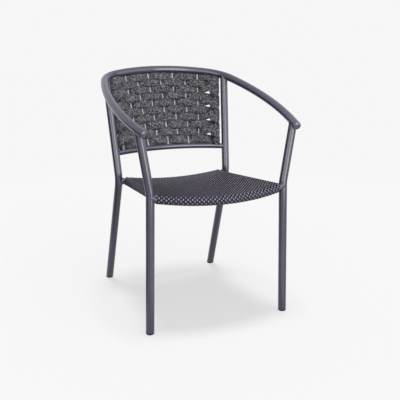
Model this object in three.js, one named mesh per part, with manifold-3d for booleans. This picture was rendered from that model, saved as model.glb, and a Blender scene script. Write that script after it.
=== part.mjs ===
// Outdoor bistro armchair: welded bent-tube frame, strap back laced on rods, woven seat round its ring.
// Millimetres, Z up. The chair faces -Y and the sitter's left is +X.
import * as THREE from 'three';
import { mergeVertices } from 'three/addons/utils/BufferGeometryUtils.js';
import Module from 'manifold-3d';

const wasm = await Module();
wasm.setup();

const { degToRad, lerp } = THREE.MathUtils;
const vector = (x, y, z) => new THREE.Vector3(x, y, z);

// Frame tubes: outside diameters and walls. Coped ends stop short of an axis by a share of a diameter.
const frameTube = 26;
const frameWall = 1.6;
const seatTube = 22;
const seatTubeWall = 1.5;
const crossbarTube = 19;
const crossbarWall = 1.5;
const postTube = 16;
const postWall = 1.2;
const rodDiameter = 5;
const weldGap = 0.3;
const copeShortShare = 0.25;

// Top rail: one flat-bent tube, level across the back, tilted down towards the arms
const railBackRadius = 382;
const railBackTurn = degToRad(26.6);
const railCornerRadius = 122;
const railCornerTurn = degToRad(48.1);
const railArmRadius = 951;
const railArmLength = 457;
const railTilt = degToRad(15.4);
const railBackY = 258.5;

// Legs: axis at the floor and at the bend, then straight up to the rail.
// The front ones are placed ahead of the rail's back.
const frontFootX = 230.5;
const frontFootAhead = 523.5;
const frontBendX = 221;
const frontBendAhead = 521;
const frontBendZ = 434.5;
const frontJointFromEnd = 31.5;
const rearFootX = 208;
const rearFootY = 265.5;
const rearBendX = 202.5;
const rearBendY = 117.5;
const rearBendZ = 402.5;
const rearJointFromCentre = 244;
const legBendRadius = 100;

// Foot glides and arm end caps
const glideHeight = 6;
const glideEdge = 4;
const glideStem = 18;
const plugClearance = 0.3;
const capDome = 5;
const capRim = 1.2;
const capStem = 16;

// Seat ring: height of each cross tube at the legs, its bow and its dip, and the side tubes' inset
const frontTubeZ = 423.5;
const frontTubeBow = 46;
const frontTubeDip = 14.5;
const rearTubeZ = 399;
const rearTubeBow = 3;
const rearTubeDip = 18;
const sideInsetFront = 25;
const sideInsetRear = 33;

// Woven seat: strand layer round the ring, and where it stops short of the legs
const weaveThickness = 3.2;
const weaveClearance = 0.3;
const weaveEdgeRise = 0.5;
const weaveToLeg = 2.5;

// Back panel: crossbar, rods and edge posts.
// The crossbar's ends are lifted over the rear seat tube's, and the rail's back stands a panel over them.
const crossbarLift = 93.5;
const crossbarBow = 35.5;
const crossbarRise = 5;
const panelHeight = 274;
const rodCount = 7;
const rodPitchTop = 47;
const rodPitchBottom = 38;
const postGapTop = 67;
const postGapBottom = 61;

// Strap: one length laced in rows from the rail down to the crossbar
const strapRows = 10;
const strapThickness = 4.6;
const strapRowGap = 0.6;
const strapCrowdShare = 0.12;
const strapClearance = 0.45;
const strapTurnWidthShare = 1.25;
const strapEdgeShare = 0.45;

// Facets
const tubeSides = 16;
const boreSides = 8;
const rodSides = 8;
const domeSteps = 4;
const railBackSteps = 3;
const railCornerSteps = 5;
const railArmSteps = 4;
const bendSteps = 4;
const bowSteps = 8;
const weaveSteps = 8;
const strapStepsPerRod = 3;
const strapTurnSteps = 6;

const frameMaterial = { color: 0x56586a, roughness: 0.5, metalness: 0.35 };
const darkPlastic = { color: 0x17171a, roughness: 0.55, metalness: 0 };
const strapMaterial = { color: 0x4b4c50, roughness: 0.95, metalness: 0 };
const strandMaterial = { color: 0x3c3b47, roughness: 0.6, metalness: 0 };

// Meshes and solids

// Turns a closed geometry into a solid with its faces pointing out
function solid(geometry) {
  const bare = geometry.clone();
  bare.deleteAttribute('normal');
  bare.deleteAttribute('uv');
  const merged = mergeVertices(bare);
  const places = merged.attributes.position.array;
  const corners = Uint32Array.from(merged.index.array);
  if (signedVolume(places, corners) < 0) {
    for (let i = 0; i < corners.length; i += 3) {
      [corners[i], corners[i + 1]] = [corners[i + 1], corners[i]];
    }
  }
  const mesh = new wasm.Mesh({ numProp: 3, vertProperties: Float32Array.from(places), triVerts: corners });
  return new wasm.Manifold(mesh);
}

function signedVolume(places, corners) {
  const point = (i) => vector(places[3 * i], places[3 * i + 1], places[3 * i + 2]);
  let sum = 0;
  for (let i = 0; i < corners.length; i += 3) {
    sum += point(corners[i]).dot(point(corners[i + 1]).cross(point(corners[i + 2])));
  }
  return sum;
}

// Names a solid as a piece of the chair
function piece(name, shape, look) {
  const { vertProperties, triVerts } = shape.getMesh();
  const geometry = new THREE.BufferGeometry();
  geometry.setAttribute('position', new THREE.BufferAttribute(vertProperties, 3));
  geometry.setIndex(new THREE.BufferAttribute(triVerts, 1));
  geometry.computeVertexNormals();
  const mesh = new THREE.Mesh(geometry, new THREE.MeshStandardMaterial(look));
  mesh.name = name;
  return mesh;
}

function union(shapes) {
  return shapes.reduce((all, next) => all.add(next));
}

// Skins rings of points, closed by a fan at each end
function loft(rings) {
  const across = rings[0].length;
  const corners = [];
  for (let i = 0; i + 1 < rings.length; i++) {
    for (let j = 0; j < across; j++) {
      const next = (j + 1) % across;
      const [a, b] = [i * across + j, i * across + next];
      const [c, d] = [a + across, b + across];
      corners.push(a, b, c, b, d, c);
    }
  }
  const last = (rings.length - 1) * across;
  for (let j = 1; j + 1 < across; j++) {
    corners.push(0, j + 1, j, last, last + j, last + j + 1);
  }
  const geometry = new THREE.BufferGeometry();
  geometry.setFromPoints(rings.flat());
  geometry.setIndex(corners);
  return solid(geometry);
}

// Tubes

// Plugs slide into the flats of the faceted bore
const stemRadius = (frameTube / 2 - frameWall) * Math.cos(Math.PI / boreSides) - plugClearance;

// A bent tube's axis, whose stations are the ends of its straight runs and equal steps round its bends
class BentAxis extends THREE.Curve {
  constructor(stations) {
    super();
    this.stations = stations;
  }

  getPointAt(t, target = vector(0, 0, 0)) {
    return target.copy(this.stations[Math.round(t * (this.stations.length - 1))]);
  }

  getTangentAt(t, target = vector(0, 0, 0)) {
    const i = Math.round(t * (this.stations.length - 1));
    const here = this.stations[i];
    target.set(0, 0, 0);
    if (i > 0) target.add(here.clone().sub(this.stations[i - 1]).normalize());
    if (i + 1 < this.stations.length) target.add(this.stations[i + 1].clone().sub(here).normalize());
    return target.normalize();
  }
}

function circle(radius, sides) {
  return Array.from({ length: sides }, (_, i) => {
    const turn = (2 * Math.PI * i) / sides;
    return new THREE.Vector2(radius * Math.cos(turn), radius * Math.sin(turn));
  });
}

// A tube along an axis; a wall of zero makes a solid bar
function tube(stations, diameter, wall, sides = tubeSides) {
  const section = new THREE.Shape(circle(diameter / 2, sides));
  if (wall > 0) section.holes.push(new THREE.Path(circle(diameter / 2 - wall, boreSides)));
  const options = { steps: stations.length - 1, bevelEnabled: false, extrudePath: new BentAxis(stations) };
  return solid(new THREE.ExtrudeGeometry(section, options));
}

// The room that a tube takes, with the gap that its neighbours keep to it
function room(stations, diameter, sides = tubeSides) {
  return tube(stations, diameter + 2 * weldGap, 0, sides);
}

// Straight, bend, straight: the corner is rounded to the bend radius
function bentStations(start, corner, end, radius) {
  const back = start.clone().sub(corner).normalize();
  const on = end.clone().sub(corner).normalize();
  const half = back.angleTo(on) / 2;
  const centre = back.clone().add(on).normalize().multiplyScalar(radius / Math.sin(half)).add(corner);
  const first = corner.clone().addScaledVector(back, radius / Math.tan(half)).sub(centre);
  const axis = first.clone().cross(on).normalize();
  const sweep = Math.PI - 2 * half;
  const arc = [];
  for (let i = 0; i <= bendSteps; i++) {
    arc.push(first.clone().applyAxisAngle(axis, (sweep * i) / bendSteps).add(centre));
  }
  return [start, ...arc, end];
}

// A point on the arc that bows a level bar, x from its middle
function bowedPoint(bar, x) {
  const size = bar.bow.length();
  const radius = (bar.half * bar.half + size * size) / (2 * size);
  const rise = Math.sqrt(radius * radius - x * x) - (radius - size);
  return vector(x, bar.y, bar.z).addScaledVector(bar.bow, rise / size);
}

function bowedStations(bar, half, steps) {
  return Array.from({ length: steps + 1 }, (_, i) => bowedPoint(bar, lerp(-half, half, i / steps)));
}

function pointAtHeight(stations, z) {
  const i = stations.findIndex((p, k) => k > 0 && (p.z - z) * (stations[k - 1].z - z) <= 0);
  const [low, high] = [stations[i - 1], stations[i]];
  return low.clone().lerp(high, (z - low.z) / (high.z - low.z));
}

function mirrored(stations) {
  return stations.map((p) => vector(-p.x, p.y, p.z));
}

// Top rail

const crossbarZ = rearTubeZ + crossbarLift;
const railBackZ = crossbarZ + panelHeight;

const railArcs = [
  { radius: railBackRadius, turn: railBackTurn, steps: railBackSteps },
  { radius: railCornerRadius, turn: railCornerTurn, steps: railCornerSteps },
  { radius: railArmRadius, turn: railArmLength / railArmRadius, steps: railArmSteps },
];
const railHalfRun = railArcs.reduce((sum, { radius, turn }) => sum + radius * turn, 0);

// The rail's axis at a run along it from the back centre, towards the sitter's left where positive
function railPoint(run) {
  let left = Math.abs(run);
  let [x, forward, heading] = [0, 0, 0];
  for (const { radius, turn } of railArcs) {
    const bend = Math.min(left / radius, turn);
    x += radius * (Math.sin(heading + bend) - Math.sin(heading));
    forward += radius * (Math.cos(heading) - Math.cos(heading + bend));
    heading += bend;
    left -= radius * bend;
  }
  const side = Math.sign(run);
  return vector(side * x, railBackY - forward * Math.cos(railTilt), railBackZ - forward * Math.sin(railTilt));
}

function railStations() {
  const runs = [0];
  for (const { radius, turn, steps } of railArcs) {
    const start = runs.at(-1);
    for (let i = 1; i <= steps; i++) runs.push(start + (radius * turn * i) / steps);
  }
  const left = runs.map(railPoint);
  return [...mirrored(left.slice(1)).reverse(), ...left];
}

const railAxis = railStations();
const railRoom = room(railAxis, frameTube);

// Legs, of the sitter's left side; the right ones are their mirror images

// The upper end stops short of the rail's axis, so its cope keeps its ears; the lower end is cut level later
function legStations(foot, corner, joint) {
  const upper = joint.clone().sub(corner).normalize();
  const end = joint.clone().addScaledVector(upper, -copeShortShare * frameTube);
  const lower = foot.clone().sub(corner).normalize();
  const start = foot.clone().addScaledVector(lower, frameTube);
  return bentStations(start, corner, end, legBendRadius);
}

const frontJoint = railPoint(railHalfRun - frontJointFromEnd);
const frontLegAxis = legStations(
  vector(frontFootX, railBackY - frontFootAhead, 0),
  vector(frontBendX, railBackY - frontBendAhead, frontBendZ),
  frontJoint,
);
const rearLegAxis = legStations(
  vector(rearFootX, rearFootY, 0),
  vector(rearBendX, rearBendY, rearBendZ),
  railPoint(rearJointFromCentre),
);

function leg(name, axis) {
  const shape = tube(axis, frameTube, frameWall).subtract(railRoom);
  return piece(name, shape.trimByPlane([0, 0, 1], glideHeight + weldGap), frameMaterial);
}

// A glide fills the leg's slanted outline from the floor up, with a stem in the bore
function footGlide(name, axis) {
  const edgeStart = frameTube / 2 - glideEdge;
  const [low, high] = [axis[0], axis[1]];
  const slope = high.clone().sub(low).normalize();
  const lean = vector(slope.x, slope.y, 0).normalize();
  const ring = (z, radius) => {
    const centre = low.clone().addScaledVector(slope, (z - low.z) / slope.z);
    return circle(radius, tubeSides).map((p) => {
      const level = vector(p.x, p.y, 0);
      const stretch = level.dot(lean) * (1 / slope.z - 1);
      return level.addScaledVector(lean, stretch).add(centre);
    });
  };
  const rings = [
    ring(0, edgeStart),
    ring(glideEdge * (1 - Math.SQRT1_2), edgeStart + glideEdge * Math.SQRT1_2),
    ring(glideEdge, frameTube / 2),
    ring(glideHeight, frameTube / 2),
    ring(glideHeight, stemRadius),
    ring(glideHeight + glideStem, stemRadius),
  ];
  return piece(name, loft(rings), darkPlastic);
}

// Arm end caps: a dome on the tube's end with a stem in the bore

function armEndCap(name, end, inner) {
  const radius = frameTube / 2;
  const profile = [
    new THREE.Vector2(0, -capStem),
    new THREE.Vector2(stemRadius, -capStem),
    new THREE.Vector2(stemRadius, weldGap),
    new THREE.Vector2(radius, weldGap),
  ];
  for (let i = 0; i <= domeSteps; i++) {
    const turn = (Math.PI / 2) * (i / domeSteps);
    profile.push(new THREE.Vector2(radius * Math.cos(turn), weldGap + capRim + capDome * Math.sin(turn)));
  }
  profile.at(-1).x = 0;
  const geometry = new THREE.LatheGeometry(profile, tubeSides);
  const outward = end.clone().sub(inner).normalize();
  geometry.applyQuaternion(new THREE.Quaternion().setFromUnitVectors(vector(0, 1, 0), outward));
  geometry.translate(end.x, end.y, end.z);
  return piece(name, solid(geometry), frameMaterial);
}

// Seat ring

function levelBar(legAxis, z, bow) {
  const end = pointAtHeight(legAxis, z);
  return { half: end.x, y: end.y, z, bow };
}

const frontBar = levelBar(frontLegAxis, frontTubeZ, vector(0, -frontTubeBow, -frontTubeDip));
const rearBar = levelBar(rearLegAxis, rearTubeZ, vector(0, rearTubeBow, -rearTubeDip));
const frontTubeAxis = bowedStations(frontBar, frontBar.half, bowSteps);
const rearTubeAxis = bowedStations(rearBar, rearBar.half, bowSteps);
const sideFrontX = frontBar.half - sideInsetFront;
const sideRearX = rearBar.half - sideInsetRear;

const legRooms = union(
  [frontLegAxis, rearLegAxis].flatMap((axis) => [room(axis, frameTube), room(mirrored(axis), frameTube)]),
);

// Straight between the two cross tubes, stopping short of their axes
function sideTubeAxis() {
  const front = bowedPoint(frontBar, sideFrontX);
  const rear = bowedPoint(rearBar, sideRearX);
  const along = rear.clone().sub(front).normalize();
  const short = copeShortShare * seatTube;
  return [front.addScaledVector(along, short), rear.addScaledVector(along, -short)];
}

function crossTube(name, axis, diameter, wall) {
  return piece(name, tube(axis, diameter, wall).subtract(legRooms), frameMaterial);
}

function sideTube(name, axis) {
  const crossRooms = room(frontTubeAxis, seatTube).add(room(rearTubeAxis, seatTube));
  return piece(name, tube(axis, seatTube, seatTubeWall).subtract(crossRooms), frameMaterial);
}

// Woven seat

// The strands roll round every tube of the ring and run flat from the front tube to the rear one
function seatWeave() {
  const bore = seatTube + 2 * weaveClearance;
  const roll = bore + 2 * weaveThickness;
  const stop = frameTube / 2 + weaveToLeg;
  const sideAxis = sideTubeAxis();
  const fullSide = [bowedPoint(frontBar, sideFrontX), bowedPoint(rearBar, sideRearX)];
  const rolls = [
    tube(bowedStations(frontBar, frontBar.half - stop, weaveSteps), roll, 0),
    tube(bowedStations(rearBar, rearBar.half - stop, weaveSteps), roll, 0),
    tube(fullSide, roll, 0),
    tube(mirrored(fullSide), roll, 0),
  ];
  const top = roll / 2 - weaveEdgeRise;
  const flat = loft(Array.from({ length: weaveSteps + 1 }, (_, i) => {
    const across = lerp(-1, 1, i / weaveSteps);
    const front = bowedPoint(frontBar, across * sideFrontX);
    const rear = bowedPoint(rearBar, across * sideRearX);
    return [
      vector(front.x, front.y, front.z + top),
      vector(rear.x, rear.y, rear.z + top),
      vector(rear.x, rear.y, rear.z + top - weaveThickness),
      vector(front.x, front.y, front.z + top - weaveThickness),
    ];
  }));
  const bores = [
    tube(frontTubeAxis, bore, 0),
    tube(rearTubeAxis, bore, 0),
    tube(sideAxis, bore, 0),
    tube(mirrored(sideAxis), bore, 0),
  ];
  const shape = union([...rolls, flat]).subtract(union(bores)).subtract(legRooms);
  return piece('seat_weave', shape, strandMaterial);
}

// Back panel: the rods and posts stand between the rail and the crossbar

const crossbar = levelBar(rearLegAxis, crossbarZ, vector(0, crossbarBow, crossbarRise));
const crossbarAxis = bowedStations(crossbar, crossbar.half, bowSteps);
const crossbarRoom = room(crossbarAxis, crossbarTube);

// Uprights are counted from the middle rod: 0 is the middle, the outermost count is the edge post
const lastRod = (rodCount - 1) / 2;
const postPlace = lastRod + 1;

// The panel's line from rail to crossbar at a place across, which need not be an upright's
function upright(place) {
  const side = Math.sign(place);
  const rods = Math.min(Math.abs(place), lastRod);
  const beyond = Math.abs(place) - rods;
  const top = railPoint(side * (rods * rodPitchTop + beyond * postGapTop));
  const foot = bowedPoint(crossbar, side * (rods * rodPitchBottom + beyond * postGapBottom));
  return { top, foot };
}

function uprightPiece(name, place, diameter, wall, sides) {
  const { top, foot } = upright(place);
  const shape = tube([foot, top], diameter, wall, sides).subtract(railRoom).subtract(crossbarRoom);
  return piece(name, shape, frameMaterial);
}

// Strap

// One station of the panel: its line, the run of the rail and the crossbar there, and the room between them
function panelStation(place) {
  const step = 1 / strapStepsPerRod;
  const { top, foot } = upright(place);
  const before = upright(place - step);
  const after = upright(place + step);
  const rise = top.clone().sub(foot);
  const length = rise.length();
  rise.normalize();
  const railRun = after.top.clone().sub(before.top).normalize();
  const barRun = after.foot.clone().sub(before.foot).normalize();
  const start = (frameTube / 2 + weldGap) / railRun.clone().cross(rise).length();
  const end = length - (crossbarTube / 2 + weldGap) / barRun.clone().cross(rise).length();
  return { top, rise, railRun, barRun, start, length, space: end - start };
}

// How far down a station's line a row count comes: the rows lie closer together towards the rail
function rowDepth(station, row) {
  const share = row / strapRows;
  return station.start + station.space * (share - strapCrowdShare * share * (1 - share));
}

function rowHalfWidth(station, row) {
  return (rowDepth(station, row + 1) - rowDepth(station, row) - strapRowGap) / 2;
}

// The point, the front and the outward direction on a station's line, rows counted from the top
function panelPoint(station, row) {
  const down = rowDepth(station, row);
  const run = station.railRun.clone().lerp(station.barRun, down / station.length);
  const front = run.cross(station.rise).normalize();
  const point = station.top.clone().addScaledVector(station.rise, -down);
  return { point, front, along: station.rise.clone().cross(front) };
}

function laneOffset(place) {
  const radius = Math.abs(place) === postPlace ? postTube / 2 : rodDiameter / 2;
  return radius + strapClearance + strapThickness / 2;
}

// The strap swings from before one upright to behind the next, the other way round in the next row
function rowStations(row) {
  const stations = [];
  const gaps = 2 * postPlace;
  const lane = (gap) => ((gap + row) % 2 === 0 ? 1 : -1) * laneOffset(gap - postPlace);
  for (let i = 0; i <= gaps * strapStepsPerRod; i++) {
    const gap = Math.min(Math.floor(i / strapStepsPerRod), gaps - 1);
    const share = (1 - Math.cos(Math.PI * (i / strapStepsPerRod - gap))) / 2;
    const offset = lerp(lane(gap), lane(gap + 1), share);
    const station = panelStation(i / strapStepsPerRod - postPlace);
    const { point, front } = panelPoint(station, row + 1 / 2);
    const middle = point.addScaledVector(front, offset);
    stations.push({ middle, width: station.rise, half: rowHalfWidth(station, row) });
  }
  return row % 2 === 0 ? stations.reverse() : stations;
}

// Round an edge post from one row to the next; fall is the rows that it comes down by
function turnStations(side, row, fromFront, fall) {
  const station = panelStation(side * postPlace);
  const reach = laneOffset(postPlace);
  const stations = [];
  for (let i = 1; i < strapTurnSteps; i++) {
    const turn = (Math.PI * i) / strapTurnSteps;
    const swing = (fromFront ? 1 : -1) * Math.cos(turn) * reach;
    const { point, front, along } = panelPoint(station, row + 1 / 2 + (fall * (1 - Math.cos(turn))) / 2);
    const middle = point.addScaledVector(front, swing).addScaledVector(along, side * Math.sin(turn) * reach);
    const wide = lerp(1, strapTurnWidthShare, fall * Math.sin(turn));
    stations.push({ middle, width: station.rise, half: wide * rowHalfWidth(station, row) });
  }
  return stations;
}

function strapPath() {
  const path = turnStations(1, 0, false, 0);
  for (let row = 0; row < strapRows; row++) {
    path.push(...rowStations(row));
    const side = row % 2 === 0 ? -1 : 1;
    if (row + 1 < strapRows) path.push(...turnStations(side, row, row % 2 === 0, 1));
  }
  return path;
}

// The strap's section is a flat belt with rounded edges, its face square to the way it runs
function strap() {
  const path = strapPath();
  const depth = strapThickness / 2;
  const rings = path.map(({ middle, width, half }, i) => {
    const ahead = path[Math.min(i + 1, path.length - 1)].middle;
    const behind = path[Math.max(i - 1, 0)].middle;
    const face = width.clone().cross(ahead.clone().sub(behind)).normalize();
    const section = [
      [half, -depth * strapEdgeShare], [half, depth * strapEdgeShare],
      [half - depth, depth], [depth - half, depth],
      [-half, depth * strapEdgeShare], [-half, -depth * strapEdgeShare],
      [depth - half, -depth], [half - depth, -depth],
    ];
    return section.map(([w, d]) => middle.clone().addScaledVector(width, w).addScaledVector(face, d));
  });
  return piece('back_strap', loft(rings).subtract(railRoom).subtract(crossbarRoom), strapMaterial);
}

// Assembly

const chair = new THREE.Group();
const sides = [['left', (axis) => axis], ['right', mirrored]];
chair.add(piece('top_rail', tube(railAxis, frameTube, frameWall), frameMaterial));
for (const [side, place] of sides) {
  const railEnd = place(railAxis.slice(-2));
  chair.add(armEndCap(`arm_end_cap_${side}`, railEnd[1], railEnd[0]));
  chair.add(leg(`front_leg_${side}`, place(frontLegAxis)));
  chair.add(leg(`rear_leg_${side}`, place(rearLegAxis)));
  chair.add(footGlide(`foot_glide_front_${side}`, place(frontLegAxis)));
  chair.add(footGlide(`foot_glide_rear_${side}`, place(rearLegAxis)));
  chair.add(sideTube(`seat_side_tube_${side}`, place(sideTubeAxis())));
  chair.add(uprightPiece(`back_post_${side}`, side === 'left' ? postPlace : -postPlace, postTube, postWall));
}
chair.add(crossTube('seat_front_tube', frontTubeAxis, seatTube, seatTubeWall));
chair.add(crossTube('seat_rear_tube', rearTubeAxis, seatTube, seatTubeWall));
chair.add(seatWeave());
chair.add(crossTube('back_crossbar', crossbarAxis, crossbarTube, crossbarWall));
for (let i = 0; i < rodCount; i++) {
  chair.add(uprightPiece(`back_rod_${i + 1}`, i - lastRod, rodDiameter, 0, rodSides));
}
chair.add(strap());

// The origin is on the floor, in the middle of the chair's outline
const outline = new THREE.Box3().setFromObject(chair);
const middle = outline.getCenter(vector(0, 0, 0));
chair.position.set(-middle.x, -middle.y, -outline.min.z);
chair.updateMatrixWorld(true);

export default chair;
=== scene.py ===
"""Looks of an outdoor bistro armchair: coated bent tubes, a laced melange strap back, a two-tone woven seat.

The chair's lines repeat the construction's driving sizes in metres, so each finished piece lies on its own
solid. The chair faces -Y and the sitter's left is +X.
"""

import logging
import math
from dataclasses import dataclass, field
from enum import Enum
from functools import cached_property
from typing import Any, Callable

import bmesh
import bpy
import numpy as np
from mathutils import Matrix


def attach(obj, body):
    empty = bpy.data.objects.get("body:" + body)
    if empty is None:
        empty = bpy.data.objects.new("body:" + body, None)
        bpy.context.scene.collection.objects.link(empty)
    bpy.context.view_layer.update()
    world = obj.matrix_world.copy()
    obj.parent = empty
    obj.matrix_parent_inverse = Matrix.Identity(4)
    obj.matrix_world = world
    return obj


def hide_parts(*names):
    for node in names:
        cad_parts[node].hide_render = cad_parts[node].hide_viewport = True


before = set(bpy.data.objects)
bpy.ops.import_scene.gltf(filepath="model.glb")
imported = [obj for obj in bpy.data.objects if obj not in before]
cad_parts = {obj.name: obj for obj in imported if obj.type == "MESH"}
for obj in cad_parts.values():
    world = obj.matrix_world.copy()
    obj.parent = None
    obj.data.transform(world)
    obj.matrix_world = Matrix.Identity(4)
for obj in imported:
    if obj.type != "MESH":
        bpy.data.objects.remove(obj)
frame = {"nodes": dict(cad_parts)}

BODY = "root"
PHOTO_SIDE = 400
ACROSS, AWAY, UP = np.eye(3)    # +X, +Y and +Z
NEARLY_UPRIGHT = 0.9        # cosine of the lean from which a direction counts as upright
ON_FLOOR = 1e-6             # height up to which a corner counts as on the floor
TURNED_SHARP_DEGREES = 50   # bend from which an edge of a turned plug stays sharp
ROUND = 1.0                 # squareness of a round or oval section
RAIL_STEP = 0.004           # distance between the rail's stations where other tubes end on it
log = logging.getLogger("chair")

Cut = Callable[[np.ndarray, np.ndarray], np.ndarray]        # carries points along a direction to the cut
Colour = tuple[float, float, float, float]
Station = tuple[np.ndarray, np.ndarray, float, float]       # middle, width direction, half width, recess


class Slot(Enum):
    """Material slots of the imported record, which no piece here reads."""

    FRAME = "frame"
    GLIDE = "glide"
    STRAND = "strand"
    STRAP = "strap"


class Side(Enum):
    """The sitter's sides, as signs along X."""

    LEFT = 1
    RIGHT = -1

    @property
    def word(self) -> str:
        """The side's word in a node's name."""
        return self.name.lower()

    def of(self, left: np.ndarray) -> np.ndarray:
        """The points of a left piece, carried to this side."""
        return left if self is Side.LEFT else mirrored(left)


class Family(Enum):
    """Which way the strands of the seat run."""

    WARP = "front to back"
    WEFT = "side to side"


# Vectors and axes


def unit(vectors: np.ndarray) -> np.ndarray:
    """Scales vectors to length 1.

    Args:
        vectors: One vector, or rows of them.

    Returns:
        The unit vectors, in the same layout.
    """
    return vectors / np.linalg.norm(vectors, axis=-1, keepdims=True)


def mirrored(points: np.ndarray) -> np.ndarray:
    """The same points on the chair's other side."""
    return points * np.array([-1.0, 1.0, 1.0])


def bent(start: np.ndarray, corner: np.ndarray, end: np.ndarray, radius: float, steps: int) -> np.ndarray:
    """Rounds the corner between two straight runs.

    Args:
        start: Where the first run starts.
        corner: Where the two runs would meet.
        end: Where the second run ends.
        radius: Radius of the bend.
        steps: Steps round the bend.

    Returns:
        The stations of the whole axis, one a row.
    """
    back, on = unit(start - corner), unit(end - corner)
    half = math.acos(float(back @ on)) / 2
    centre = corner + unit(back + on) * (radius / math.sin(half))
    first = corner + back * (radius / math.tan(half)) - centre
    across = unit(np.cross(np.cross(first, on), first)) * radius
    turns = np.linspace(0, math.pi - 2 * half, steps + 1)[:, None]
    arc = centre + first * np.cos(turns) + across * np.sin(turns)
    return np.vstack([start, arc, end])


def carried_frames(axis: np.ndarray) -> tuple[np.ndarray, np.ndarray, np.ndarray]:
    """Directions along and across an axis, carried without twist.

    Args:
        axis: Stations of the axis.

    Returns:
        Tangents and two cross directions at each station.
    """
    steps = unit(np.diff(axis, axis=0))
    tangents = unit(np.vstack([steps[:1], steps[:-1] + steps[1:], steps[-1:]]))
    seed = UP if abs(tangents[0] @ UP) < NEARLY_UPRIGHT else AWAY
    first = [unit(np.cross(tangents[0], seed))]
    for tangent in tangents[1:]:
        first.append(unit(first[-1] - tangent * (first[-1] @ tangent)))
    normals = np.array(first)
    return tangents, normals, np.cross(tangents, normals)


def off_axis(points: np.ndarray, axis: np.ndarray) -> np.ndarray:
    """The way to each point from the nearest place on each straight piece of an axis.

    Args:
        points: The points.
        axis: Stations of the axis.

    Returns:
        Vectors, for each point one from each piece.
    """
    low, run = axis[:-1], np.diff(axis, axis=0)
    from_low = points[..., None, :] - low
    share = np.clip((from_low * run).sum(-1) / (run * run).sum(-1), 0, 1)
    return from_low - share[..., None] * run


def spokes(sides: int, first: np.ndarray, second: np.ndarray) -> np.ndarray:
    """Unit directions round a circle.

    Args:
        sides: How many.
        first: The first direction.
        second: The one a quarter turn on.

    Returns:
        The directions, one a row.
    """
    turns = np.linspace(0, 2 * math.pi, sides, endpoint=False)[:, None]
    return np.cos(turns) * first + np.sin(turns) * second


def distance_to_axis(points: np.ndarray, axis: np.ndarray) -> np.ndarray:
    """Least distance of each point to the straight pieces of an axis."""
    return np.linalg.norm(off_axis(points, axis), axis=-1).min(-1)


def at_height(axis: np.ndarray, z: float) -> np.ndarray:
    """The point where an axis that climbs steadily passes a height."""
    order = np.argsort(axis[:, 2])
    return np.array([np.interp(z, axis[order, 2], axis[order, k]) for k in range(3)])


# The chair's lines


@dataclass(frozen=True)
class Bar:
    """A level bar between two legs, bowed to one side on an arc."""

    half: float
    y: float
    z: float
    bow: tuple[float, float, float]

    def point(self, x: float) -> np.ndarray:
        """The point of the bar's axis at a place across.

        Args:
            x: The place, from the chair's middle.

        Returns:
            The point.
        """
        size = float(np.linalg.norm(self.bow))
        radius = (self.half**2 + size**2) / (2 * size)
        rise = math.sqrt(radius**2 - x**2) - (radius - size)
        return np.array([x, self.y, self.z]) + np.array(self.bow) * (rise / size)

    def axis(self, steps: int) -> np.ndarray:
        """Stations of the bar's axis from leg to leg."""
        return np.array([self.point(x) for x in np.linspace(-self.half, self.half, steps + 1)])


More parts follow.
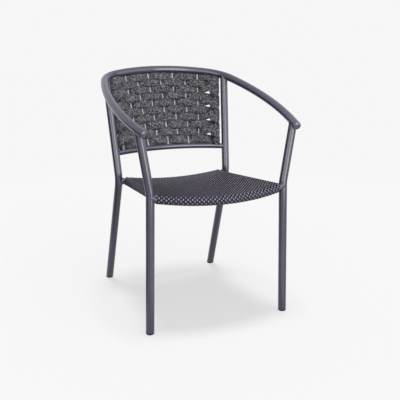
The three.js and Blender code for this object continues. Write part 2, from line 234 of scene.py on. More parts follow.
@dataclass(frozen=True)
class ChairLines:
    """Axes of the frame, worked out from its driving sizes.

    The sizes are the construction's own, but the front foot and bend are placed ahead of the joint with the
    rail. Depths are measured from the construction's datum, and shift_y carries them to the chair's origin.
    """

    shift_y: float
    frame_tube: float = 0.026
    frame_wall: float = 0.0016
    seat_tube: float = 0.022
    seat_wall: float = 0.0015
    crossbar_tube: float = 0.019
    crossbar_wall: float = 0.0015
    post_tube: float = 0.016
    post_wall: float = 0.0012
    rod: float = 0.005
    weld_gap: float = 0.0003
    rail_arcs: tuple[tuple[float, float], ...] = (      # radius and turn, from the back's middle on
        (0.382, math.radians(26.6)),
        (0.122, math.radians(48.1)),
        (0.951, 0.457 / 0.951),
    )
    rail_tilt: float = math.radians(15.4)
    rail_back_y: float = 0.2585
    front_foot_x: float = 0.2305
    front_foot_ahead: float = 0.004
    front_bend_x: float = 0.221
    front_bend_ahead: float = 0.0015
    front_bend_z: float = 0.4345
    front_joint_from_end: float = 0.0315
    rear_foot: tuple[float, float] = (0.208, 0.2655)
    rear_bend: tuple[float, float, float] = (0.2025, 0.1175, 0.4025)
    rear_joint_from_centre: float = 0.244
    leg_bend_radius: float = 0.1
    front_tube_z: float = 0.4235
    front_tube_bow: tuple[float, float, float] = (0.0, -0.046, -0.0145)
    rear_tube_z: float = 0.399
    rear_tube_bow: tuple[float, float, float] = (0.0, 0.003, -0.018)
    side_inset_front: float = 0.025
    side_inset_rear: float = 0.033
    crossbar_lift: float = 0.0935
    crossbar_bow: tuple[float, float, float] = (0.0, 0.0355, 0.005)
    panel_height: float = 0.274
    bend_steps: int = 14

    @property
    def crossbar_z(self) -> float:
        """Height of the crossbar's ends."""
        return self.rear_tube_z + self.crossbar_lift

    @property
    def rail_half_run(self) -> float:
        """Length of the rail's axis from its back centre to an end."""
        return sum(radius * turn for radius, turn in self.rail_arcs)

    def placed(self, x: float, y: float, z: float) -> np.ndarray:
        """A point of the construction, carried to the chair's origin."""
        return np.array([x, y + self.shift_y, z])

    def rail_point(self, run: float) -> np.ndarray:
        """The rail's axis at a run from its back centre.

        Args:
            run: Length along the rail, towards the sitter's left where positive.

        Returns:
            The point.
        """
        left = abs(run)
        x = forward = heading = 0.0
        for radius, turn in self.rail_arcs:
            bend = min(left / radius, turn)
            x += radius * (math.sin(heading + bend) - math.sin(heading))
            forward += radius * (math.cos(heading) - math.cos(heading + bend))
            heading += bend
            left -= radius * bend
        back_z = self.crossbar_z + self.panel_height
        y = self.rail_back_y - forward * math.cos(self.rail_tilt)
        return self.placed(math.copysign(x, run), y, back_z - forward * math.sin(self.rail_tilt))

    def rail_axis(self, step: float) -> np.ndarray:
        """Stations of the whole rail, from the sitter's right end to the left.

        Args:
            step: Length between stations, about.

        Returns:
            The stations, one a row.
        """
        runs = [0.0]
        for radius, turn in self.rail_arcs:
            count = max(2, round(radius * turn / step))
            runs += list(runs[-1] + radius * turn * np.arange(1, count + 1) / count)
        left = np.array([self.rail_point(run) for run in runs])
        return np.vstack([mirrored(left[1:])[::-1], left])

    @cached_property
    def front_leg(self) -> np.ndarray:
        """The left front leg's axis.

        Returns:
            Its stations from the floor to the rail's axis.
        """
        joint = self.rail_point(self.rail_half_run - self.front_joint_from_end)
        foot = np.array([self.front_foot_x, joint[1] - self.front_foot_ahead, 0.0])
        corner = np.array([self.front_bend_x, joint[1] - self.front_bend_ahead, self.front_bend_z])
        return bent(foot, corner, joint, self.leg_bend_radius, self.bend_steps)

    @cached_property
    def rear_leg(self) -> np.ndarray:
        """The left rear leg's axis.

        Returns:
            Its stations from the floor to the rail's axis.
        """
        joint = self.rail_point(self.rear_joint_from_centre)
        foot = self.placed(*self.rear_foot, 0.0)
        return bent(foot, self.placed(*self.rear_bend), joint, self.leg_bend_radius, self.bend_steps)

    def bar(self, leg_axis: np.ndarray, z: float, bow: tuple[float, float, float]) -> Bar:
        """A bar between a pair of legs at a height."""
        end = at_height(leg_axis, z)
        return Bar(half=float(end[0]), y=float(end[1]), z=z, bow=bow)

    @cached_property
    def front_bar(self) -> Bar:
        """The seat ring's front tube."""
        return self.bar(self.front_leg, self.front_tube_z, self.front_tube_bow)

    @cached_property
    def rear_bar(self) -> Bar:
        """The seat ring's rear tube."""
        return self.bar(self.rear_leg, self.rear_tube_z, self.rear_tube_bow)

    @cached_property
    def crossbar(self) -> Bar:
        """The bar that the back panel stands on."""
        return self.bar(self.rear_leg, self.crossbar_z, self.crossbar_bow)

    @cached_property
    def side_x(self) -> tuple[float, float]:
        """How far out the side tube's axis meets the front and the rear tube."""
        return self.front_bar.half - self.side_inset_front, self.rear_bar.half - self.side_inset_rear

    @cached_property
    def side_tube(self) -> np.ndarray:
        """The left side tube's axis, from the front tube's axis to the rear one's."""
        front_x, rear_x = self.side_x
        return np.array([self.front_bar.point(front_x), self.rear_bar.point(rear_x)])


def chair_lines() -> ChairLines:
    """The chair's lines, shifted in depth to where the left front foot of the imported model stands.

    Returns:
        The lines.
    """
    foot = [v.co for v in frame["nodes"]["foot_glide_front_left"].data.vertices if v.co.z < ON_FLOOR]
    measured = sum(co.y for co in foot) / len(foot)
    return ChairLines(shift_y=measured - float(ChairLines(shift_y=0.0).front_leg[0][1]))


# Meshes


def in_scene(name: str, data: bpy.types.ID) -> Any:
    """Makes an object at the origin and links it to the scene.

    Args:
        name: Name of the object.
        data: Its mesh, light or camera.

    Returns:
        The object.
    """
    thing = bpy.data.objects.new(name, data)
    bpy.context.scene.collection.objects.link(thing)
    return thing


def turn_faces_out(mesh: bpy.types.Mesh) -> None:
    """Turns the faces of a closed mesh so that they point outwards.

    Args:
        mesh: The mesh, which is changed in place.
    """
    work = bmesh.new()
    work.from_mesh(mesh)
    bmesh.ops.recalc_face_normals(work, faces=work.faces)
    work.to_mesh(mesh)
    work.free()


def grid_faces(rows: int, across: int) -> list[list[int]]:
    """Faces of a grid whose points lie row by row.

    Args:
        rows: Rows of points.
        across: Points in a row.

    Returns:
        Corner numbers of each face.
    """
    return [
        [r * across + c, r * across + c + 1, (r + 1) * across + c + 1, (r + 1) * across + c]
        for r in range(rows - 1) for c in range(across - 1)
    ]


def piece_from(name: str, points: np.ndarray, faces: list[list[int]], sharp_degrees: float = 40) -> Any:
    """Makes a closed mesh object with smooth faces that point outwards.

    Args:
        name: Name of the piece.
        points: Corners, one a row.
        faces: Corner numbers of each face.
        sharp_degrees: Edges bent more than this stay sharp.

    Returns:
        The object, at the origin.
    """
    mesh = bpy.data.meshes.new(name)
    mesh.from_pydata(points.tolist(), [], faces)
    turn_faces_out(mesh)
    mesh.shade_smooth()
    mesh.set_sharp_from_angle(angle=math.radians(sharp_degrees))
    return in_scene(name, mesh)


def skin(rings: list[np.ndarray], closed: bool) -> tuple[np.ndarray, list[list[int]]]:
    """Skins rings of the same number of points.

    Args:
        rings: The rings, in order.
        closed: True joins the last ring to the first, False closes each end with one face.

    Returns:
        The points and the faces.
    """
    across = len(rings[0])
    count = len(rings)
    faces = []
    for i in range(count if closed else count - 1):
        for j in range(across):
            a, b = i * across + j, i * across + (j + 1) % across
            c, d = ((i + 1) % count) * across + j, ((i + 1) % count) * across + (j + 1) % across
            faces.append([a, b, d, c])
    if not closed:
        faces.append(list(range(across))[::-1])
        faces.append([(count - 1) * across + j for j in range(across)])
    return np.vstack(rings), faces


def polyline_mesh(name: str, lines: list[np.ndarray], cyclic: bool) -> bpy.types.Mesh:
    """A mesh of edges only, that a node tree turns into curves.

    Args:
        name: Name of the mesh.
        lines: Stations of each line.
        cyclic: True joins each line's end to its start.

    Returns:
        The mesh.
    """
    edges, first = [], 0
    for line in lines:
        count = len(line)
        edges.extend((first + i, first + i + 1) for i in range(count - 1))
        if cyclic:
            edges.append((first + count - 1, first))
        first += count
    mesh = bpy.data.meshes.new(name)
    mesh.from_pydata(np.vstack(lines).tolist(), edges, [])
    return mesh


def store(mesh: bpy.types.Mesh, name: str, values: np.ndarray) -> None:
    """Keeps a number or a vector for each point of a mesh.

    Args:
        mesh: The mesh.
        name: Name of the attribute.
        values: The numbers, or the vectors, one a row.
    """
    kind, key = ("FLOAT_VECTOR", "vector") if values.ndim == 2 else ("FLOAT", "value")
    attribute = mesh.attributes.new(name, kind, "POINT")
    attribute.data.foreach_set(key, values.astype(np.float32).ravel())


def dress(piece: Any, material: bpy.types.Material, nodes: tuple[str, ...] = ()) -> Any:
    """Gives a piece its material and its body, and hides the nodes that it stands for.

    Args:
        piece: The finished object.
        material: The finish.
        nodes: Nodes that the piece replaces.

    Returns:
        The same object.
    """
    piece.data.materials.clear()
    piece.data.materials.append(material)
    if nodes:
        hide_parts(*nodes)
    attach(piece, BODY)
    stands_for = ", ".join(nodes) or "no node"
    log.info("%s: %d faces, stands for %s", piece.name, len(piece.data.polygons), stands_for)
    return piece


# Round tubes with coped ends

TRAIL_RADII = 5         # how far a point is run on to find a tube, in the tube's radii
TRAIL_STATIONS = 241
NEARBY_RADII = 10       # pieces of an axis farther off than this aren't looked at
SHORT_AXIS = 12         # an axis with no more stations than this is looked at as a whole
HALVINGS = 30
LEAST_RUN = 1e-5        # a last run shorter than this is left out
HOLD_BACK_SHARE = 1.3   # room for the cope before the end of an axis, as a share of the tube's radius


def run_to_tube(points: np.ndarray, way: np.ndarray, axis: np.ndarray, radius: float) -> np.ndarray:
    """Runs points straight on until they meet a tube, or pass it at their nearest.

    Args:
        points: Points to move.
        way: Unit direction that they move in.
        axis: Axis of the tube that they meet.
        radius: Outside radius of that tube.

    Returns:
        The moved points.
    """
    steps = np.linspace(0, TRAIL_RADII * radius, TRAIL_STATIONS)
    trail = points[:, None, :] + steps[None, :, None] * way
    near = axis
    if len(axis) > SHORT_AXIS:
        near = axis[distance_to_axis(axis, points) < NEARBY_RADII * radius]
    depth = distance_to_axis(trail, near) - radius
    reached = []
    for row in depth:
        inside = np.nonzero(row <= 0)[0]
        if len(inside) and inside[0] > 0:
            k = inside[0]
            share = row[k - 1] / (row[k - 1] - row[k])
            reached.append(steps[k - 1] + (steps[k] - steps[k - 1]) * share)
        else:
            reached.append(steps[int(np.argmin(row))])
    return points + np.array(reached)[:, None] * way


def cope_onto(axis: np.ndarray, radius: float) -> Cut:
    """A cut that fits a tube's end to the outside of another tube."""
    return lambda points, way: run_to_tube(points, way, axis, radius)


def level_cut(z: float) -> Cut:
    """A cut by the horizontal plane at a height."""
    return lambda points, way: points + ((z - points[:, 2]) / way[2])[:, None] * way


def held_back(axis: np.ndarray, target: np.ndarray, reach: float) -> np.ndarray:
    """Trims an axis's end to where it is still clear of another tube by its own radius.

    Args:
        axis: Stations, whose end runs into the target.
        target: Axis of the other tube.
        reach: Distance from the target's axis at which the stations stop.

    Returns:
        The shorter axis.
    """
    clear = distance_to_axis(axis, target) > reach
    last = int(np.nonzero(clear)[0][-1])
    low, high = axis[last], axis[min(last + 1, len(axis) - 1)]
    for _ in range(HALVINGS):
        middle = (low + high) / 2
        if distance_to_axis(middle[None], target)[0] > reach:
            low = middle
        else:
            high = middle
    kept = axis[: last + 1]
    return np.vstack([kept, low]) if np.linalg.norm(low - axis[last]) > LEAST_RUN else kept


@dataclass
class RoundTube:
    """One bent round tube, or a solid bar where it has no wall."""

    name: str
    axis: np.ndarray
    diameter: float
    wall: float
    sides: int = 48
    start_cut: Cut | None = None
    end_cut: Cut | None = None
    seams: list[np.ndarray] = field(default_factory=list)

    def ends_on(self, target: np.ndarray, diameter: float, at_start: bool) -> None:
        """Copes one end onto another tube.

        Args:
            target: Axis of the other tube.
            diameter: Its outside diameter.
            at_start: True for the axis's first end.
        """
        reach = (diameter + HOLD_BACK_SHARE * self.diameter) / 2
        axis = self.axis[::-1] if at_start else self.axis
        trimmed = held_back(axis, target, reach)
        self.axis = trimmed[::-1] if at_start else trimmed
        cut = cope_onto(target, diameter / 2)
        if at_start:
            self.start_cut = cut
        else:
            self.end_cut = cut

    def spans(self, start: np.ndarray, end: np.ndarray, diameter: float) -> None:
        """Copes both ends, each onto the tube that it meets."""
        self.ends_on(end, diameter, at_start=False)
        self.ends_on(start, diameter, at_start=True)

    def shell(self, radius: float) -> list[np.ndarray]:
        """Rings of the tube with each end cut as it should be.

        Args:
            radius: Radius of the rings.

        Returns:
            The rings, from the axis's first end on.
        """
        _, first, second = carried_frames(self.axis)
        round_out = spokes(self.sides, first[:, None, :], second[:, None, :])
        rings = list(self.axis[:, None, :] + radius * round_out)
        if self.start_cut:
            rings.insert(0, self.start_cut(rings[0], unit(self.axis[0] - self.axis[1])))
        if self.end_cut:
            rings.append(self.end_cut(rings[-1], unit(self.axis[-1] - self.axis[-2])))
        return rings

    def build(self) -> Any:
        """Makes the tube and keeps its end seams for the welds.

        Returns:
            The tube.
        """
        outer = self.shell(self.diameter / 2)
        self.seams = [outer[0], outer[-1]]
        if self.wall > 0:
            inner = self.shell(self.diameter / 2 - self.wall)
            return piece_from(self.name, *skin(outer + inner[::-1], closed=True))
        return piece_from(self.name, *skin(outer, closed=False))


# Node trees


class NodeBench:
    """Short calls for adding nodes to one tree and wiring them."""

    def __init__(self, tree: bpy.types.NodeTree) -> None:
        """Starts with an empty tree."""
        self.tree = tree
        tree.nodes.clear()

    def feed(self, socket: bpy.types.NodeSocket, value: Any) -> None:
        """Links an output to a socket, or sets the socket's own value.

        Args:
            socket: An input of a node.
            value: The output, or the value.
        """
        if isinstance(value, bpy.types.NodeSocket):
            self.tree.links.new(value, socket)
        else:
            socket.default_value = value

    def add(self, kind: str, feeds: dict[str | int, Any] | None = None, **settings: Any) -> bpy.types.Node:
        """Adds a node.

        Args:
            kind: Blender's name for the node's class.
            feeds: Values or outputs by the name or number of an input.
            settings: Properties of the node.

        Returns:
            The node.
        """
        node = self.tree.nodes.new(kind)
        for key, value in settings.items():
            setattr(node, key, value)
        for key, value in (feeds or {}).items():
            self.feed(node.inputs[key], value)
        return node

    def math(self, operation: str, *values: Any) -> bpy.types.NodeSocket:
        """The result of a math operation."""
        return self.add("ShaderNodeMath", dict(enumerate(values)), operation=operation).outputs[0]

    def plus(self, first: Any, second: Any) -> bpy.types.NodeSocket:
        """The sum of two numbers."""
        return self.math("ADD", first, second)

    def times(self, first: Any, second: Any) -> bpy.types.NodeSocket:
        """The product of two numbers."""
        return self.math("MULTIPLY", first, second)

    def vector(self, operation: str, *values: Any) -> bpy.types.NodeSocket:
        """The result of a vector operation, which is a number for dot and length."""
        node = self.add("ShaderNodeVectorMath", dict(enumerate(values)), operation=operation)
        return node.outputs["Value" if operation in ("DOT_PRODUCT", "LENGTH") else "Vector"]

    def scaled(self, vector: Any, factor: Any) -> bpy.types.NodeSocket:
        """A vector times a number."""
        feeds = {"Vector": vector, "Scale": factor}
        return self.add("ShaderNodeVectorMath", feeds, operation="SCALE").outputs["Vector"]

    def combined(self, x: Any = 0.0, y: Any = 0.0, z: Any = 0.0) -> bpy.types.NodeSocket:
        """A vector of three numbers."""
        return self.add("ShaderNodeCombineXYZ", {"X": x, "Y": y, "Z": z}).outputs[0]

    def ranged(self, value: Any, low: float, high: float, to_low: Any, to_high: Any) -> bpy.types.NodeSocket:
        """A number carried from one range to another, and held inside it."""
        feeds = {"Value": value, "From Min": low, "From Max": high, "To Min": to_low, "To Max": to_high}
        return self.add("ShaderNodeMapRange", feeds).outputs["Result"]

    def blended(self, share: Any, first: Any, second: Any) -> bpy.types.NodeSocket:
        """A mix of two colours.

        Args:
            share: Share of the second colour.
            first: The first colour.
            second: The second colour.

        Returns:
            The mixed colour.
        """
        node = self.add("ShaderNodeMix", data_type="RGBA")
        for key, value in (("Factor_Float", share), ("A_Color", first), ("B_Color", second)):
            self.feed(next(s for s in node.inputs if s.identifier == key), value)
        return next(s for s in node.outputs if s.identifier == "Result_Color")

    def power_shaped(self, value: Any, exponent: Any) -> bpy.types.NodeSocket:
        """A number raised to a power with its sign kept."""
        power = self.math("POWER", self.math("ABSOLUTE", value), exponent)
        return self.times(self.math("SIGN", value), power)

    def seen(self) -> bpy.types.NodeSocket:
        """Whether the camera, a reflection or a glass shows the surface.

        Returns:
            1 where it does, 0 where the surface only gives light.
        """
        path = self.add("ShaderNodeLightPath").outputs
        shown = self.math("MAXIMUM", path["Is Camera Ray"], path["Is Glossy Ray"])
        return self.math("MAXIMUM", shown, path["Is Transmission Ray"])


class GroupBench(NodeBench):
    """A bench for a node group, with its named inputs."""

    def __init__(self, name: str, kind: str) -> None:
        """Starts an empty group.

        Args:
            name: Name of the group.
            kind: Blender's name for its class.
        """
        super().__init__(bpy.data.node_groups.new(name, kind))
        self.entry = self.tree.nodes.new("NodeGroupInput")

    def taken(self, name: str, kind: str = "Float") -> bpy.types.NodeSocket:
        """A new named input of the group, as an output to link from."""
        self.tree.interface.new_socket(name, in_out="INPUT", socket_type=f"NodeSocket{kind}")
        return self.entry.outputs[name]


class GeometryBench(GroupBench):
    """A bench for a Geometry Nodes tree that works on a host mesh."""

    def __init__(self, name: str) -> None:
        """Starts a tree that takes and gives geometry.

        Args:
            name: Name of the tree.
        """
        super().__init__(name, "GeometryNodeTree")
        self.host = self.taken("Geometry", "Geometry")
        self.tree.interface.new_socket("Geometry", in_out="OUTPUT", socket_type="NodeSocketGeometry")

    def drawn_lines(self) -> bpy.types.NodeSocket:
        """The host's edges, as curves."""
        return self.add("GeometryNodeMeshToCurve", {"Mesh": self.host}).outputs["Curve"]

    def read(self, name: str, kind: str = "FLOAT") -> bpy.types.NodeSocket:
        """A stored attribute."""
        node = self.add("GeometryNodeInputNamedAttribute", {"Name": name}, data_type=kind)
        return node.outputs["Attribute"]

    def stored(self, geometry: Any, name: str, value: Any, kind: str = "FLOAT", domain: str = "POINT") -> Any:
        """The geometry with an attribute stored on it."""
        feeds = {"Geometry": geometry, "Name": name, "Value": value}
        return self.add("GeometryNodeStoreNamedAttribute", feeds, data_type=kind, domain=domain).outputs[0]

    def carrying(self, geometry: Any, numbers: dict[str, Any], ways: dict[str, Any]) -> Any:
        """The geometry with numbers and directions stored on its points.

        Args:
            geometry: The geometry.
            numbers: Values by attribute name.
            ways: Vectors by attribute name.

        Returns:
            The geometry that carries them.
        """
        for kind, values in (("FLOAT", numbers), ("FLOAT_VECTOR", ways)):
            for name, value in values.items():
                geometry = self.stored(geometry, name, value, kind)
        return geometry

    def chosen(self, kind: str, switch: Any, off: Any, on: Any) -> bpy.types.NodeSocket:
        """One of two values."""
        feeds = {"Switch": switch, "False": off, "True": on}
        return self.add("GeometryNodeSwitch", feeds, input_type=kind).outputs[0]

    def close(self, geometry: Any, material: Any = None) -> bpy.types.NodeTree:
        """Ends the tree with smooth and realised geometry.

        Args:
            geometry: What the tree puts out.
            material: Its finish, none in a tree that other trees use.

        Returns:
            The tree.
        """
        smooth = self.add("GeometryNodeSetShadeSmooth", {"Geometry": geometry}).outputs[0]
        real = self.add("GeometryNodeRealizeInstances", {"Geometry": smooth}).outputs[0]
        if material is not None:
            real = self.add("GeometryNodeSetMaterial", {"Geometry": real, "Material": material}).outputs[0]
        self.add("NodeGroupOutput", {"Geometry": real})
        return self.tree


def section_tree() -> bpy.types.NodeTree:
    """Sweeps a soft-edged section along curves.

    The curves carry width_way and face_way, the directions across, half_width and half_depth, the sizes
    of the section, and run, the length along. The mesh gets a UV map of run and place across, in metres.

    Returns:
        The tree.
    """
    bench = GeometryBench("swept_section")
    sides = bench.taken("Sides", "Int")
    squareness = bench.taken("Squareness")
    middle = bench.add("GeometryNodeInputPosition").outputs[0]
    curve = bench.stored(bench.host, "middle", middle, "FLOAT_VECTOR")
    circle = bench.add("GeometryNodeCurvePrimitiveCircle", {"Resolution": sides}).outputs["Curve"]
    index = bench.add("GeometryNodeInputIndex").outputs[0]
    turn = bench.times(bench.math("DIVIDE", index, sides), 2 * math.pi)
    profile = bench.stored(circle, "around", turn)
    feeds = {"Curve": curve, "Profile Curve": profile, "Fill Caps": True}
    sweep = bench.add("GeometryNodeCurveToMesh", feeds)
    around = bench.read("around")
    across = bench.power_shaped(bench.math("COSINE", around), squareness)
    deep = bench.power_shaped(bench.math("SINE", around), squareness)
    across = bench.times(across, bench.read("half_width"))
    deep = bench.times(deep, bench.read("half_depth"))
    wide = bench.scaled(bench.read("width_way", "FLOAT_VECTOR"), across)
    thick = bench.scaled(bench.read("face_way", "FLOAT_VECTOR"), deep)
    place = bench.vector("ADD", bench.read("middle", "FLOAT_VECTOR"), bench.vector("ADD", wide, thick))
    uv = bench.combined(bench.read("run"), across)
    mesh = bench.stored(sweep.outputs["Mesh"], "UVMap", uv, "FLOAT2", "CORNER")
    shaped = bench.add("GeometryNodeSetPosition", {"Geometry": mesh, "Position": place}).outputs["Geometry"]
    return bench.close(shaped)


def swept(bench: GeometryBench, curve: Any, sides: Any, squareness: Any) -> Any:
    """The mesh of the section swept along curves, by the group for it."""
    feeds = {"Geometry": curve, "Sides": sides, "Squareness": squareness}
    return bench.add("GeometryNodeGroup", feeds, node_tree=bpy.data.node_groups["swept_section"]).outputs[0]


def ribbon_tree() -> bpy.types.NodeTree:
    """Sweeps a belt along drawn lines that carry their own directions and sizes.

    Returns:
        The tree.
    """
    bench = GeometryBench("laced_ribbon")
    sides, squareness = bench.taken("Sides", "Int"), bench.taken("Squareness")
    material = bench.taken("Material", "Material")
    return bench.close(swept(bench, bench.drawn_lines(), sides, squareness), material)


def bead_tree() -> bpy.types.NodeTree:
    """Lays a rippled weld bead on closed seams.

    Returns:
        The tree.
    """
    bench = GeometryBench("weld_bead")
    radius, ripple = bench.taken("Radius"), bench.taken("Ripple Share")
    pitch, sides = bench.taken("Ripple Pitch"), bench.taken("Sides", "Int")
    material = bench.taken("Material", "Material")
    length = bench.add("GeometryNodeSplineParameter").outputs["Length"]
    normal = bench.add("GeometryNodeInputNormal").outputs[0]
    tangent = bench.add("GeometryNodeInputTangent").outputs[0]
    swing = bench.math("SINE", bench.times(bench.math("DIVIDE", length, pitch), 2 * math.pi))
    size = bench.times(radius, bench.plus(bench.times(swing, ripple), 1.0))
    numbers = {"run": length, "half_width": size, "half_depth": size}
    ways = {"width_way": normal, "face_way": bench.vector("CROSS_PRODUCT", tangent, normal)}
    seam = bench.carrying(bench.drawn_lines(), numbers, ways)
    return bench.close(swept(bench, seam, sides, ROUND), material)


def strand_tree() -> bpy.types.NodeTree:
    """Lays interlaced strands on a surface whose UV map is the lattice of crossings.

    Lanes are whole numbers across, and a strand runs along the other way of the lattice. It rises over
    one crossing and dips under the next, and its neighbour does the opposite.

    Returns:
        The tree.
    """
    bench = GeometryBench("woven_strands")
    lanes, first_lane = bench.taken("Lanes", "Int"), bench.taken("First Lane")
    run_from, run_to = bench.taken("Run From"), bench.taken("Run To")
    samples, turned = bench.taken("Samples", "Int"), bench.taken("Side To Side", "Bool")
    low, span = bench.taken("Lattice Low", "Vector"), bench.taken("Lattice Span", "Vector")
    half_width, half_depth = bench.taken("Half Width"), bench.taken("Half Depth")
    lift, pitch = bench.taken("Lift"), bench.taken("Pitch")
    stand, crown = bench.taken("Stand"), bench.taken("Crown Share")
    sides, material = bench.taken("Sides", "Int"), bench.taken("Material", "Material")

    line = bench.add("GeometryNodeCurvePrimitiveLine").outputs["Curve"]
    line = bench.add("GeometryNodeResampleCurve", {"Curve": line, "Count": samples}).outputs["Curve"]
    copies = bench.add("GeometryNodeDuplicateElements", {"Geometry": line, "Amount": lanes}, domain="SPLINE")
    lane = bench.plus(copies.outputs["Duplicate Index"], first_lane)
    curve = bench.stored(copies.outputs["Geometry"], "lane", lane)
    along = bench.add("GeometryNodeSplineParameter").outputs["Factor"]
    run = bench.math("SUBTRACT", run_to, run_from)
    place = bench.plus(run_from, bench.times(along, run))
    curve = bench.stored(curve, "place", place)

    lane, place = bench.read("lane"), bench.read("place")
    swing = bench.math("COSINE", bench.times(bench.plus(lane, place), math.pi))
    swing = bench.times(bench.power_shaped(swing, crown), lift)
    swing = bench.chosen("FLOAT", turned, swing, bench.times(swing, -1.0))
    lattice = bench.chosen("VECTOR", turned, bench.combined(lane, place), bench.combined(place, lane))
    uv = bench.vector("DIVIDE", bench.vector("SUBTRACT", lattice, low), span)

    guide_uv = bench.read("UVMap", "FLOAT_VECTOR")
    sampled = []
    for source in ("GeometryNodeInputPosition", "GeometryNodeInputNormal"):
        sample = bench.add("GeometryNodeSampleUVSurface", data_type="FLOAT_VECTOR")
        bench.feed(sample.inputs["Mesh"], bench.host)
        bench.feed(sample.inputs["Value"], bench.add(source).outputs[0])
        bench.feed(next(s for s in sample.inputs if "UV Map" in s.name), guide_uv)
        bench.feed(sample.inputs["Sample UV"], uv)
        sampled.append(sample.outputs["Value"])
    outward = bench.vector("NORMALIZE", sampled[1])
    curve = bench.stored(curve, "outward", outward, "FLOAT_VECTOR")
    height = bench.plus(swing, stand)
    spot = bench.vector("ADD", sampled[0], bench.scaled(outward, height))
    curve = bench.add("GeometryNodeSetPosition", {"Geometry": curve, "Position": spot}).outputs["Geometry"]

    tangent = bench.add("GeometryNodeInputTangent").outputs[0]
    wide = bench.vector("CROSS_PRODUCT", tangent, bench.read("outward", "FLOAT_VECTOR"))
    face = bench.vector("CROSS_PRODUCT", bench.read("width_way", "FLOAT_VECTOR"), tangent)
    run = bench.times(place, pitch)
    numbers = {"half_width": half_width, "half_depth": half_depth, "run": run}
    ways = {"width_way": bench.vector("NORMALIZE", wide), "face_way": face}
    curve = bench.carrying(curve, numbers, ways)
    return bench.close(swept(bench, curve, sides, ROUND), material)


KEPT_ATTRIBUTES = {
    "position", "UVMap", "recess", "half_width", "sharp_face", "material_index",
    ".edge_verts", ".corner_vert", ".corner_edge",
}


def grown(name: str, host: bpy.types.Mesh, tree: bpy.types.NodeTree, values: dict[str, Any]) -> Any:
    """Runs a tree on a mesh and keeps the result as a plain mesh object.

    Args:
        name: Name of the new piece.
        host: Mesh that the tree starts from, which is used up.
        tree: The node tree.
        values: Its inputs by name.

    Returns:
        The new object, at the origin.
    """
    carrier = bpy.data.objects.new(name + "_guide", host)
    modifier = carrier.modifiers.new("tree", "NODES")
    modifier.node_group = tree
    taken = [s for s in tree.interface.items_tree if s.item_type == "SOCKET" and s.in_out == "INPUT"]
    sockets = {s.name: s.identifier for s in taken}
    for key, value in values.items():
        modifier[sockets[key]] = value
    bpy.context.scene.collection.objects.link(carrier)
    depsgraph = bpy.context.evaluated_depsgraph_get()
    mesh = bpy.data.meshes.new_from_object(carrier.evaluated_get(depsgraph), depsgraph=depsgraph)
    carrier.modifiers.clear()
    bpy.data.objects.remove(carrier)
    for extra in [a.name for a in mesh.attributes if a.name not in KEPT_ATTRIBUTES and not a.is_internal]:
        mesh.attributes.remove(mesh.attributes[extra])
    turn_faces_out(mesh)
    return in_scene(name, mesh)


def joined(name: str, parts: list[Any]) -> Any:
    """Joins objects into one.

    Args:
        name: Name of the joined piece.
        parts: The objects, of which the first takes in the rest.

    Returns:
        The joined piece.
    """
    with bpy.context.temp_override(active_object=parts[0], selected_editable_objects=parts):
        bpy.ops.object.join()
    parts[0].name = name
    parts[0].data.name = name
    return parts[0]


# Finishes


def tone(red: float, green: float, blue: float) -> Colour:
    """A screen colour as a linear one for a socket, by the standard curve of screens.

    Args:
        red: Red, 0 to 255.
        green: Green, 0 to 255.
        blue: Blue, 0 to 255.

    Returns:
        The colour, opaque.
    """
    share = np.array([red, green, blue]) / 255
    linear = np.where(share <= 0.04045, share / 12.92, ((share + 0.055) / 1.055) ** 2.4)
    return (*linear.tolist(), 1.0)


class ShaderBench(GroupBench):
    """A bench for a shader node group, with its named outputs."""

    def __init__(self, name: str) -> None:
        """Starts an empty shader group.

        Args:
            name: Name of the group.
        """
        super().__init__(name, "ShaderNodeTree")
        self.exit = self.tree.nodes.new("NodeGroupOutput")

    def given(self, name: str, kind: str, value: bpy.types.NodeSocket) -> None:
        """A new named output of the group, with what feeds it."""
        self.tree.interface.new_socket(name, in_out="OUTPUT", socket_type=f"NodeSocket{kind}")
        self.tree.links.new(value, self.exit.inputs[name])

    def noise(self, scale: Any, detail: float, place: Any = None) -> bpy.types.NodeSocket:
        """Cloudy noise of 0 to 1.

        Args:
            scale: Clouds in one unit of the place.
            detail: Layers of finer noise.
            place: Where it is read, by default the place on the object, in metres.

        Returns:
            The noise.
        """
        if place is None:
            place = self.add("ShaderNodeTexCoord").outputs["Object"]
        feeds = {"Vector": place, "Scale": scale, "Detail": detail}
        return self.add("ShaderNodeTexNoise", feeds).outputs["Fac"]

    def uv_parts(self) -> tuple[bpy.types.NodeSocket, bpy.types.NodeSocket]:
        """The piece's UV map, in metres.

        Returns:
            The run along the piece and the place across it.
        """
        uv = self.add("ShaderNodeUVMap", uv_map="UVMap").outputs["UV"]
        parts = self.add("ShaderNodeSeparateXYZ", {"Vector": uv}).outputs
        return parts["X"], parts["Y"]


def coat_group() -> bpy.types.NodeTree:
    """Fine grain and faint clouding of a sprayed coat, by place on the object.

    Returns:
        The group.
    """
    clouds_a_metre, speck_share, rough_swing = 28.0, 1.5, 0.12
    bench = ShaderBench("sprayed_coat")
    colour, cloud_share = bench.taken("Color", "Color"), bench.taken("Cloud Share")
    rough, grain_size = bench.taken("Roughness"), bench.taken("Grain Size")
    cloud = bench.noise(clouds_a_metre, detail=3.0)
    grain = bench.noise(bench.math("DIVIDE", 1.0, grain_size), detail=2.0)
    around_cloud, around_grain = (bench.math("SUBTRACT", value, 0.5) for value in (cloud, grain))
    swing = bench.times(around_cloud, cloud_share)
    speck = bench.times(around_grain, bench.times(cloud_share, speck_share))
    bright = bench.plus(bench.plus(swing, speck), 1.0)
    bench.given("Color", "Color", bench.scaled(colour, bright))
    roughened = bench.plus(rough, bench.times(around_cloud, rough_swing))
    bench.given("Roughness", "Float", roughened)
    bench.given("Height", "Float", grain)
    return bench.tree


